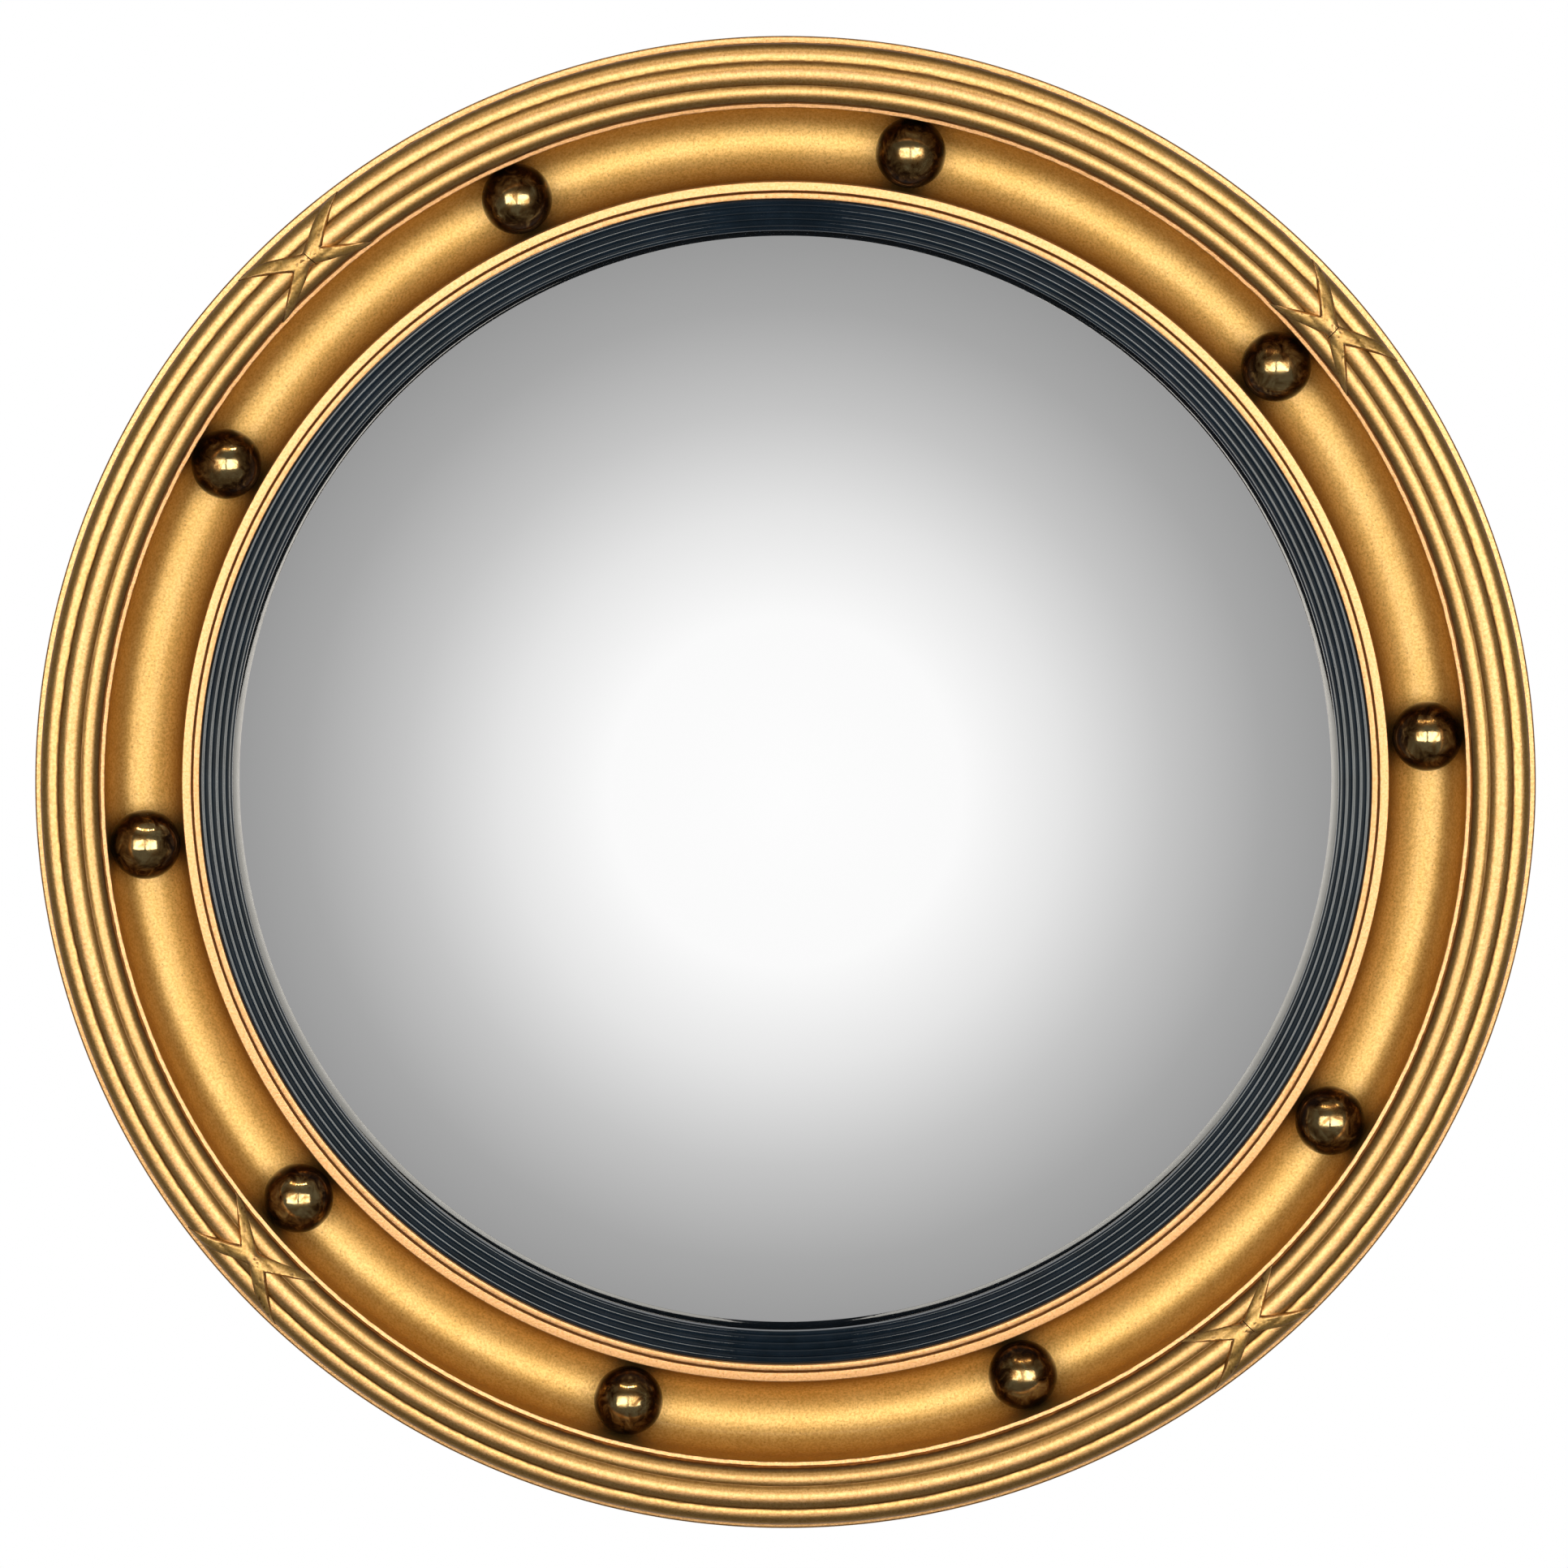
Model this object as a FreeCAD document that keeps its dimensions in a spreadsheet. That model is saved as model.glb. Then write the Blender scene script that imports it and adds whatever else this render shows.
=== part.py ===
"""Convex butlers mirror: a gilded ring moulding with reeds, ribbon ties and balls.

The mirror hangs on a wall at y = 0 and faces -Y, with +Z up. The origin is the
centre of the wall plane. Lengths are millimetres. A "height" is the distance from
the frame's back face towards the room, and angles run clockwise from the top as
seen from the room.
"""
import FreeCAD, Part
import math
import os

import Sketcher

doc = FreeCAD.newDocument("butlers_mirror")


# ---------------------------------------------------------------- driving dimensions
SIZES = {
    # moulding, from the outside in: widths across the face
    "outer_diameter": 406,
    "edge_fillet_width": 1.9,
    "outer_reed_width": 4.95,
    "middle_reed_width": 6.3,
    "inner_reed_width": 4.75,
    "inner_fillet_width": 1.15,
    "cove_undercut": 1.25,
    "cove_outer_radius": 10,
    "cove_inner_radius": 10.8,
    "bead_width": 2.75,
    "incised_line_width": 0.4,
    "inner_step_width": 1.55,
    # moulding, heights above the back face
    "frame_depth": 40,
    "edge_fillet_height": 32,
    "inner_fillet_height": 34,
    "bead_height": 22,
    "inner_step_height": 21.7,
    "lip_back_height": 18,
    # moulding, radii of the rounds
    "outer_reed_radius": 3.6,
    "middle_reed_radius": 3.8,
    "inner_reed_radius": 3.1,
    "edge_round": 0.6,
    "bead_round": 0.4,
    "incised_line_depth": 0.35,
    # back of the moulding
    "back_inset": 7,
    "back_chamfer": 1.5,
    "side_height": 17,
    "side_cavetto_radius": 14,
    "edge_nose_height": 28.5,
    "lip_width": 2,
    "board_rebate_width": 6.3,
    # balls in the cove
    "ball_count": 10,
    "ball_diameter": 19,
    "first_ball_angle": 12.9,
    "spigot_diameter": 4,
    "spigot_length": 5,
    "spigot_clearance": 0.1,
    "socket_extra_depth": 0.5,
    # ribbon ties
    "tie_count": 4,
    "first_tie_angle": 49,
    "ribbon_thickness": 0.8,
    "tie_half_length": 17.4,
    "tie_waist_half_length": 5,
    "tie_waist_half_width": 2.1,
    "tie_crossing_inset": 0.9,
    "tie_tip_setback": 0.2,
    "tie_edge_radius": 60,
    # slip
    "slip_width": 8.4,
    "slip_reed_count": 4,
    "slip_reed_radius": 1.2,
    "slip_edge_bead_width": 1,
    "slip_edge_bead_radius": 0.7,
    "slip_outer_height": 20.3,
    "slip_sight_height": 17.3,
    "slip_seat_height": 14,
    "slip_clearance": 0.2,
    # glass
    "convex_radius": 572,
    "glass_thickness": 3,
    "glass_cover": 4.4,
    "glass_clearance": 0.05,
    "glass_edge_clearance": 0.3,
    # packing ring and backboard
    "packing_width": 11.4,
    "board_thickness": 3,
    "board_clearance": 0.3,
    # turn buttons and their screws
    "button_count": 4,
    "first_button_angle": 45,
    "button_pivot_inset": 15,
    "button_length": 21,
    "button_head_radius": 6,
    "button_tip_radius": 4,
    "button_thickness": 1.2,
    "button_lift": 0.15,
    "button_screw_shoulder_diameter": 3.4,
    "button_screw_running_clearance": 0.05,
    "screw_head_diameter": 6.5,
    "screw_head_height": 2,
    "screw_core_diameter": 2.7,
    "screw_depth": 8,
    "screw_head_play": 0.1,
    "pilot_clearance": 0.05,
    # hanger
    "hanger_bar_inset": 18,
    "hanger_plate_length": 38,
    "hanger_plate_width": 10,
    "hanger_plate_thickness": 1,
    "hanger_screw_spacing": 27,
    "hanger_screw_shank_diameter": 3,
    "hanger_wire_diameter": 2.4,
    "hanger_wire_play": 0.3,
    "knuckle_length": 6,
    "knuckle_wall": 1,
    "ring_width": 16,
    "ring_corner_radius": 2.5,
    "ring_straight": 2,
    # wall bumpers
    "bumper_count": 3,
    "first_bumper_angle": 60,
    "bumper_inset": 16,
    "bumper_diameter": 12,
    "bumper_height": 6,
    "bumper_round": 1.5,
}

# The balls and ties were set by eye: each stands off its even place by this many degrees.
BALL_DRIFT = [-1.8, 0.3, 0.5, 0.7, 1.2, 1.4, 0.8, 0.0, -0.7, -1.3]
TIE_DRIFT = [0.5, 0.3, -0.2, -0.6]


def fill_sheet(name, cells):
    """A spreadsheet with one named value in each row."""
    sheet = doc.addObject("Spreadsheet::Sheet", name)
    for row, (alias, content) in enumerate(cells.items(), start=1):
        sheet.set("A%d" % row, alias)
        sheet.set("B%d" % row, str(content))
        sheet.setAlias("B%d" % row, alias)
    doc.recompute()
    return sheet


sizes = fill_sheet("Sizes", SIZES)

# ---------------------------------------------------------------- places worked out from the sizes
PLACES = {
    # radii across the moulding
    "outer_radius": "=Sizes.outer_diameter / 2",
    "edge_inner_radius": "=outer_radius - Sizes.edge_fillet_width",
    "outer_groove_radius": "=edge_inner_radius - Sizes.outer_reed_width",
    "inner_groove_radius": "=outer_groove_radius - Sizes.middle_reed_width",
    "reed_inner_radius": "=inner_groove_radius - Sizes.inner_reed_width",
    "fillet_inner_radius": "=reed_inner_radius - Sizes.inner_fillet_width",
    "ball_ring_radius": "=fillet_inner_radius + Sizes.cove_undercut - Sizes.cove_outer_radius",
    "bead_outer_radius": "=ball_ring_radius - Sizes.cove_inner_radius",
    "bead_inner_radius": "=bead_outer_radius - Sizes.bead_width",
    "step_outer_radius": "=bead_inner_radius - Sizes.incised_line_width",
    "lip_radius": "=step_outer_radius - Sizes.inner_step_width",
    "rebate_radius": "=lip_radius + Sizes.lip_width",
    "board_rebate_radius": "=rebate_radius + Sizes.board_rebate_width",
    "back_radius": "=outer_radius - Sizes.back_inset",
    # centres of the three reeds
    "outer_reed_centre": "=edge_inner_radius - Sizes.outer_reed_radius",
    "middle_reed_centre": "=(outer_groove_radius + inner_groove_radius) / 2",
    "inner_reed_centre": "=reed_inner_radius + Sizes.inner_reed_radius",
    "middle_reed_level": "=Sizes.frame_depth - Sizes.middle_reed_radius",
    "groove_height": "=middle_reed_level"
                     " + sqrt(Sizes.middle_reed_radius ^ 2 - (Sizes.middle_reed_width / 2) ^ 2)",
    "outer_reed_level": "=groove_height - sqrt(Sizes.outer_reed_radius ^ 2"
                        " - (outer_reed_centre - outer_groove_radius) ^ 2)",
    "inner_reed_level": "=groove_height - sqrt(Sizes.inner_reed_radius ^ 2"
                        " - (inner_groove_radius - inner_reed_centre) ^ 2)",
    # cove
    "cove_floor": "=Sizes.bead_height - Sizes.bead_round - Sizes.cove_inner_radius",
    "cove_outer_level": "=cove_floor + Sizes.cove_outer_radius",
    "cove_wall_rise": "=Sizes.inner_fillet_height - cove_outer_level",
    "cove_wall_radius": "=(cove_wall_rise ^ 2 + Sizes.cove_undercut ^ 2) / (2 * Sizes.cove_undercut)",
    "ball_level": "=cove_floor + Sizes.ball_diameter / 2",
    "socket_floor": "=cove_floor - Sizes.spigot_length - Sizes.socket_extra_depth",
    # slip
    "slip_outer_radius": "=lip_radius - Sizes.slip_clearance",
    "slip_flange_radius": "=rebate_radius - Sizes.slip_clearance",
    "sight_radius": "=slip_outer_radius - Sizes.slip_width",
    "slip_reed_width": "=(Sizes.slip_width - Sizes.slip_edge_bead_width) / Sizes.slip_reed_count",
    "slip_reed_fall": "=(Sizes.slip_outer_height - Sizes.slip_sight_height) / Sizes.slip_reed_count",
    # glass
    "glass_radius": "=sight_radius + Sizes.glass_cover",
    "glass_slope": "=glass_radius / sqrt(Sizes.convex_radius ^ 2 - glass_radius ^ 2)",
    "glass_apex_height": "=Sizes.slip_seat_height - Sizes.glass_clearance"
                         " + Sizes.convex_radius - sqrt(Sizes.convex_radius ^ 2 - sight_radius ^ 2)",
    "glass_edge_height": "=glass_apex_height"
                         " - Sizes.convex_radius + sqrt(Sizes.convex_radius ^ 2 - glass_radius ^ 2)",
    "concave_radius": "=Sizes.convex_radius - Sizes.glass_thickness",
    "glass_foot_height": "=glass_apex_height - Sizes.glass_thickness"
                         " - concave_radius + sqrt(concave_radius ^ 2 - glass_radius ^ 2)",
    # the glass lies in a collar between the slip's back and the packing ring
    "collar_radius": "=glass_radius + Sizes.glass_edge_clearance",
    "slip_back_height": "=Sizes.slip_seat_height - (collar_radius - sight_radius) * glass_slope",
    "packing_outer_radius": "=slip_flange_radius",
    "packing_inner_radius": "=packing_outer_radius - Sizes.packing_width",
    "packing_shelf_height": "=glass_foot_height - 2 * Sizes.glass_clearance"
                            " - Sizes.glass_edge_clearance * glass_slope",
    "packing_crown_height": "=packing_shelf_height + (collar_radius - packing_inner_radius) * glass_slope",
    "packing_collar_height": "=slip_back_height - Sizes.glass_clearance",
    "board_radius": "=board_rebate_radius - Sizes.board_clearance",
    # fittings on the back
    "button_pivot_radius": "=back_radius - Sizes.button_pivot_inset",
    "button_hole_radius": "=Sizes.button_screw_shoulder_diameter / 2"
                          " + Sizes.button_screw_running_clearance",
    "button_screw_seat": "=Sizes.button_lift + Sizes.button_thickness + Sizes.screw_head_play",
    "pilot_radius": "=Sizes.screw_core_diameter / 2 + Sizes.pilot_clearance",
    "hanger_bar_radius": "=back_radius - Sizes.hanger_bar_inset",
    "hanger_bar_level": "=Sizes.hanger_plate_thickness + Sizes.hanger_wire_play"
                        " + Sizes.hanger_wire_diameter / 2",
    "knuckle_bore_radius": "=Sizes.hanger_wire_diameter / 2 + Sizes.hanger_wire_play",
    "knuckle_radius": "=knuckle_bore_radius + Sizes.knuckle_wall",
    "bumper_ring_radius": "=back_radius - Sizes.bumper_inset",
}
places = fill_sheet("Places", PLACES)


def value(expression):
    """The number that an expression on the sheets gives now."""
    return float(sizes.evalExpression(expression))


# ---------------------------------------------------------------- drawing tools
def new_body(label):
    body = doc.addObject("PartDesign::Body", label)
    body.Label = label
    return body


def plane_sketch(body, name, role):
    """A sketch on one of the body's own origin planes."""
    sketch = body.newObject("Sketcher::SketchObject", name)
    plane = next(feature for feature in body.Origin.OriginFeatures if feature.Role == role)
    sketch.AttachmentSupport = (plane, "")
    sketch.MapMode = "FlatFace"
    return sketch


def bind_point(sketch, edge, end, across, along):
    """Ties one end of an edge to two expressions."""
    for kind, expression in (("DistanceX", across), ("DistanceY", along)):
        index = sketch.addConstraint(
            Sketcher.Constraint(kind, -1, 1, edge, end, value(expression)))
        sketch.setExpression("Constraints[%d]" % index, expression)


def arc_between(start, finish, radius, turn):
    """The shorter arc from start to finish; turn +1 puts its centre on the left."""
    chord = finish - start
    half = chord.Length / 2
    left = FreeCAD.Vector(-chord.y, chord.x, 0).normalize()
    centre = (start + finish) * 0.5 + left * (turn * math.sqrt(radius ** 2 - half ** 2))
    first, last = (start, finish) if turn > 0 else (finish, start)
    begin = math.atan2(first.y - centre.y, first.x - centre.x)
    end = math.atan2(last.y - centre.y, last.x - centre.x)
    circle = Part.Circle(centre, FreeCAD.Vector(0, 0, 1), radius)
    return Part.ArcOfCircle(circle, begin, end)


def closed_outline(sketch, corners):
    """Draws a closed outline. Each corner is (across, along), or (across, along,
    radius, turn) where an arc leads to it from the corner before."""
    spots = [FreeCAD.Vector(value(corner[0]), value(corner[1]), 0) for corner in corners]
    ends = []
    for number, corner in enumerate(corners):
        start, finish = spots[number - 1], spots[number]
        if len(corner) == 2:
            edge = sketch.addGeometry(Part.LineSegment(start, finish))
            ends.append((edge, 1, 2))
            continue
        radius, turn = corner[2], corner[3]
        edge = sketch.addGeometry(arc_between(start, finish, value(radius), turn))
        ends.append((edge, 1, 2) if turn > 0 else (edge, 2, 1))
        index = sketch.addConstraint(Sketcher.Constraint("Radius", edge, value(radius)))
        sketch.setExpression("Constraints[%d]" % index, radius)
    for number, corner in enumerate(corners):
        edge, _, finish = ends[number]
        following, start, _ = ends[(number + 1) % len(corners)]
        sketch.addConstraint(Sketcher.Constraint("Coincident", edge, finish, following, start))
        bind_point(sketch, edge, finish, corner[0], corner[1])


def circle(sketch, across, along, radius):
    edge = sketch.addGeometry(Part.Circle(
        FreeCAD.Vector(value(across), value(along), 0), FreeCAD.Vector(0, 0, 1), value(radius)))
    bind_point(sketch, edge, 3, across, along)
    index = sketch.addConstraint(Sketcher.Constraint("Radius", edge, value(radius)))
    sketch.setExpression("Constraints[%d]" % index, radius)


def from_wall(height):
    """Y of a height above the frame's back, which stands off the wall by a bumper."""
    return "-(Sizes.bumper_height + %s)" % height


def turned(body, name, corners):
    """Turns a half section about the mirror's axis. Corners are (radius, height, ...)."""
    sketch = plane_sketch(body, name + "_section", "XY_Plane")
    closed_outline(sketch, [(corner[0], from_wall(corner[1])) + tuple(corner[2:])
                            for corner in corners])
    return revolved(body, name, sketch)


def revolved(body, name, sketch):
    turning = body.newObject("PartDesign::Revolution", name)
    turning.Profile = sketch
    turning.ReferenceAxis = (sketch, ["V_Axis"])
    turning.Angle = 360
    doc.recompute()
    return turning


def padded(body, name, sketch, length, midplane=False, backwards=False):
    pad = body.newObject("PartDesign::Pad", name)
    pad.Profile = sketch
    pad.setExpression("Length", length)
    pad.Midplane = midplane
    pad.Reversed = backwards
    doc.recompute()
    return pad


def drilled(body, name, sketch, depth, backwards=False):
    """Cuts a sketch into the body and makes sure that something was cut."""
    before = body.Shape.Volume
    pocket = body.newObject("PartDesign::Pocket", name)
    pocket.Profile = sketch
    pocket.setExpression("Length", depth)
    pocket.Reversed = backwards
    doc.recompute()
    if body.Shape.Volume > before - 0.1:
        raise ValueError("%s cuts nothing" % name)
    return pocket


def around(radius, angle):
    """X and Z of a point on the ring, clockwise from the top as the room sees it."""
    return "%s * sin(%s)" % (radius, angle), "%s * cos(%s)" % (radius, angle)


def place(body, across, along, up, turn=None):
    """Puts a body at (across, along, up), turned clockwise about the mirror's axis."""
    body.setExpression("Placement.Base.x", across)
    body.setExpression("Placement.Base.y", along)
    body.setExpression("Placement.Base.z", up)
    if turn is not None:
        body.setExpression("Placement.Rotation.Axis.x", "0")
        body.setExpression("Placement.Rotation.Axis.y", "1")
        body.setExpression("Placement.Rotation.Axis.z", "0")
        body.setExpression("Placement.Rotation.Angle", turn)


# ---------------------------------------------------------------- frame moulding
# One turned ring. Its face runs from the edge fillet over three reeds, the inner
# fillet and the cove to the bead, the incised line and the lip that holds the slip.
def ball_angle(number):
    drift = BALL_DRIFT[number % len(BALL_DRIFT)]
    return "(Sizes.first_ball_angle + 360 / Sizes.ball_count * %d + %g)" % (number, drift)


frame = new_body("frame_moulding")
turned(frame, "moulding", [
    ("Places.board_rebate_radius", "0"),
    ("(Places.back_radius - Sizes.back_chamfer)", "0"),
    ("Places.back_radius", "Sizes.back_chamfer"),
    ("Places.back_radius", "Sizes.side_height"),
    ("Places.outer_radius", "Sizes.edge_nose_height", "Sizes.side_cavetto_radius", 1),
    ("Places.outer_radius", "(Sizes.edge_fillet_height - Sizes.edge_round)"),
    ("(Places.outer_radius - Sizes.edge_round)", "Sizes.edge_fillet_height", "Sizes.edge_round", -1),
    ("Places.edge_inner_radius", "Sizes.edge_fillet_height"),
    ("Places.edge_inner_radius", "Places.outer_reed_level"),
    ("Places.outer_groove_radius", "Places.groove_height", "Sizes.outer_reed_radius", -1),
    ("Places.inner_groove_radius", "Places.groove_height", "Sizes.middle_reed_radius", -1),
    ("Places.reed_inner_radius", "Places.inner_reed_level", "Sizes.inner_reed_radius", -1),
    ("Places.reed_inner_radius", "Sizes.inner_fillet_height"),
    ("Places.fillet_inner_radius", "Sizes.inner_fillet_height"),
    ("(Places.ball_ring_radius + Sizes.cove_outer_radius)", "Places.cove_outer_level",
     "Places.cove_wall_radius", 1),
    ("Places.ball_ring_radius", "Places.cove_floor", "Sizes.cove_outer_radius", 1),
    ("Places.bead_outer_radius", "(Sizes.bead_height - Sizes.bead_round)",
     "Sizes.cove_inner_radius", 1),
    ("(Places.bead_outer_radius - Sizes.bead_round)", "Sizes.bead_height", "Sizes.bead_round", -1),
    ("(Places.bead_inner_radius + Sizes.bead_round)", "Sizes.bead_height"),
    ("Places.bead_inner_radius", "(Sizes.bead_height - Sizes.bead_round)", "Sizes.bead_round", -1),
    ("(Places.bead_inner_radius - Sizes.incised_line_width / 2)",
     "(Sizes.inner_step_height - Sizes.incised_line_depth)"),
    ("Places.step_outer_radius", "Sizes.inner_step_height"),
    ("Places.lip_radius", "Sizes.inner_step_height"),
    ("Places.lip_radius", "Sizes.lip_back_height"),
    ("Places.rebate_radius", "Sizes.lip_back_height"),
    ("Places.rebate_radius", "Sizes.board_thickness"),
    ("Places.board_rebate_radius", "Sizes.board_thickness"),
])

sockets = plane_sketch(frame, "socket_circles", "XZ_Plane")
sockets.setExpression("AttachmentOffset.Base.z", "Sizes.bumper_height + Places.ball_level")
for number in range(int(SIZES["ball_count"])):
    across, up = around("Places.ball_ring_radius", ball_angle(number))
    circle(sockets, across, up, "Sizes.spigot_diameter / 2 + Sizes.spigot_clearance")
doc.recompute()
drilled(frame, "ball_sockets", sockets, "Places.ball_level - Places.socket_floor")


def button_angle(number):
    return "(Sizes.first_button_angle + 360 / Sizes.button_count * %d)" % number


pilots = plane_sketch(frame, "pilot_circles", "XZ_Plane")
pilots.setExpression("AttachmentOffset.Base.z", "Sizes.bumper_height")
for number in range(int(SIZES["button_count"])):
    across, up = around("Places.button_pivot_radius", button_angle(number))
    circle(pilots, across, up, "Places.pilot_radius")
for side in (-1, 1):
    circle(pilots, "%d * Sizes.hanger_screw_spacing / 2" % side, "Places.hanger_bar_radius",
           "Places.pilot_radius")
doc.recompute()
drilled(frame, "screw_pilots", pilots, "Sizes.screw_depth + Sizes.socket_extra_depth", backwards=True)

# ---------------------------------------------------------------- balls
# Turned balls that lie on the floor of the cove, each with a spigot in its socket.
for number in range(int(SIZES["ball_count"])):
    ball = new_body("ball_%02d" % (number + 1))
    section = plane_sketch(ball, "ball_section_%02d" % (number + 1), "XY_Plane")
    closed_outline(section, [
        ("0", "-Sizes.ball_diameter / 2"),
        ("Sizes.spigot_diameter / 2",
         "sqrt((Sizes.ball_diameter / 2) ^ 2 - (Sizes.spigot_diameter / 2) ^ 2)",
         "Sizes.ball_diameter / 2", 1),
        ("Sizes.spigot_diameter / 2", "Sizes.ball_diameter / 2 + Sizes.spigot_length"),
        ("0", "Sizes.ball_diameter / 2 + Sizes.spigot_length"),
    ])
    revolved(ball, "turned_ball_%02d" % (number + 1), section)
    across, up = around("Places.ball_ring_radius", ball_angle(number))
    place(ball, across, from_wall("Places.ball_level"), up)

# ---------------------------------------------------------------- ribbon ties
# A crossed ribbon draped over the reeds: three rings, each a ribbon thicker than its
# reed, are cut to the crossed outline, and the moulding is cut away from below.
REEDS = {
    "outer": ("Places.outer_reed_centre", "Places.outer_reed_level", "Sizes.outer_reed_radius"),
    "middle": ("Places.middle_reed_centre", "Places.middle_reed_level", "Sizes.middle_reed_radius"),
    "inner": ("Places.inner_reed_centre", "Places.inner_reed_level", "Sizes.inner_reed_radius"),
}
drapes = []
for reed, (centre, level, radius) in REEDS.items():
    ring = doc.addObject("Part::Torus", reed + "_reed_drape")
    ring.setExpression("Radius1", centre)
    ring.setExpression("Radius2", radius + " + Sizes.ribbon_thickness")
    ring.Placement = FreeCAD.Placement(
        FreeCAD.Vector(0, 0, 0), FreeCAD.Rotation(FreeCAD.Vector(1, 0, 0), 90))
    ring.setExpression("Placement.Base.y", from_wall(level))
    drapes.append(ring)
drape = doc.addObject("Part::MultiFuse", "ribbon_drape")
drape.Shapes = drapes

TIP = "Sizes.tie_half_length / Places.middle_reed_centre * 180 / pi"
NOTCH = "Sizes.tie_waist_half_length / Places.middle_reed_centre * 180 / pi"


def crossed_corner(radius, angle, side):
    """A corner of the crossed ribbon, by radius and angle, with the arc that leads to it."""
    across, along = around(radius, "(%s)" % angle)
    return (across, along, "Sizes.tie_edge_radius", side)


crossing = doc.addObject("Sketcher::SketchObject", "crossed_ribbon_outline")
crossing.Placement = FreeCAD.Placement(
    FreeCAD.Vector(0, 0, 0), FreeCAD.Rotation(FreeCAD.Vector(1, 0, 0), 90))
outer_tip = "(Places.edge_inner_radius - Sizes.tie_tip_setback)"
inner_tip = "(Places.reed_inner_radius + Sizes.tie_tip_setback)"
crossing_radius = "(Places.middle_reed_centre - Sizes.tie_crossing_inset)"
outer_waist = "(%s + Sizes.tie_waist_half_width)" % crossing_radius
inner_waist = "(%s - Sizes.tie_waist_half_width)" % crossing_radius
closed_outline(crossing, [
    crossed_corner(outer_tip, TIP, 1),
    crossed_corner(crossing_radius, NOTCH, 1),
    crossed_corner(inner_tip, TIP, 1),
    crossed_corner(inner_waist, "0", 1),
    crossed_corner(inner_tip, "-" + TIP, 1),
    crossed_corner(crossing_radius, "-" + NOTCH, 1),
    crossed_corner(outer_tip, "-" + TIP, 1),
    crossed_corner(outer_waist, "0", 1),
])
prism = doc.addObject("Part::Extrusion", "crossed_ribbon_prism")
prism.Base = crossing
prism.DirMode = "Custom"
prism.Dir = FreeCAD.Vector(0, -1, 0)
prism.setExpression("LengthFwd", "Sizes.bumper_height + Sizes.frame_depth + 2 * Sizes.ribbon_thickness")
prism.setExpression("LengthRev", "-(Sizes.bumper_height + Places.cove_outer_level)")
prism.Solid = True
blank = doc.addObject("Part::Common", "ribbon_blank")
blank.Base = drape
blank.Tool = prism
doc.recompute()

ties = []
for number in range(int(SIZES["tie_count"])):
    tie = doc.addObject("Part::Cut", "ribbon_tie_%d" % (number + 1))
    tie.Label = "ribbon_tie_%d" % (number + 1)
    tie.Base = blank
    tie.Tool = frame
    place(tie, "0", "0", "0", "Sizes.first_tie_angle + 360 / Sizes.tie_count * %d + %g" % (
        number, TIE_DRIFT[number % len(TIE_DRIFT)]))
    ties.append(tie)
doc.recompute()

# ---------------------------------------------------------------- slip
# The ebonised ring: its flange seats behind the lip, and its reeds step down to the glass.
slip = new_body("ebonised_slip")
reed_corners = []
for number in range(1, int(SIZES["slip_reed_count"]) + 1):
    reed_corners.append((
        "(Places.slip_outer_radius - Places.slip_reed_width * %d)" % number,
        "(Sizes.slip_outer_height - Places.slip_reed_fall * %d)" % number,
        "Sizes.slip_reed_radius", -1))
turned(slip, "slip_ring", [
    ("Places.sight_radius", "Sizes.slip_seat_height"),
    ("Places.collar_radius", "Places.slip_back_height"),
    ("Places.slip_flange_radius", "Places.slip_back_height"),
    ("Places.slip_flange_radius", "Sizes.lip_back_height"),
    ("Places.slip_outer_radius", "Sizes.lip_back_height"),
    ("Places.slip_outer_radius", "Sizes.slip_outer_height"),
    *reed_corners,
    ("Places.sight_radius", "(Sizes.slip_sight_height - Places.slip_reed_fall / 2)",
     "Sizes.slip_edge_bead_radius", -1),
])

# ---------------------------------------------------------------- convex glass
# A dished plate, silvered on its hollow back, whose rim lies under the slip.
glass = new_body("mirror_glass")
turned(glass, "dished_plate", [
    ("0", "Places.glass_apex_height"),
    ("Places.glass_radius", "Places.glass_edge_height", "Sizes.convex_radius", 1),
    ("Places.glass_radius", "Places.glass_foot_height"),
    ("0", "(Places.glass_apex_height - Sizes.glass_thickness)", "Places.concave_radius", -1),
])

# ---------------------------------------------------------------- packing ring
# A cork ring with a sloped shelf for the glass and a collar that centres it.
packing = new_body("packing_ring")
turned(packing, "packing", [
    ("Places.packing_inner_radius", "Sizes.board_thickness"),
    ("Places.packing_outer_radius", "Sizes.board_thickness"),
    ("Places.packing_outer_radius", "Places.packing_collar_height"),
    ("Places.collar_radius", "Places.packing_collar_height"),
    ("Places.collar_radius", "Places.packing_shelf_height"),
    ("Places.packing_inner_radius", "Places.packing_crown_height"),
])

# ---------------------------------------------------------------- backboard
# A hardboard disc, flush with the back of the moulding.
board = new_body("backboard")
disc = plane_sketch(board, "board_circle", "XZ_Plane")
disc.setExpression("AttachmentOffset.Base.z", "Sizes.bumper_height")
circle(disc, "0", "0", "Places.board_radius")
doc.recompute()
padded(board, "board_disc", disc, "Sizes.board_thickness")

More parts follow.
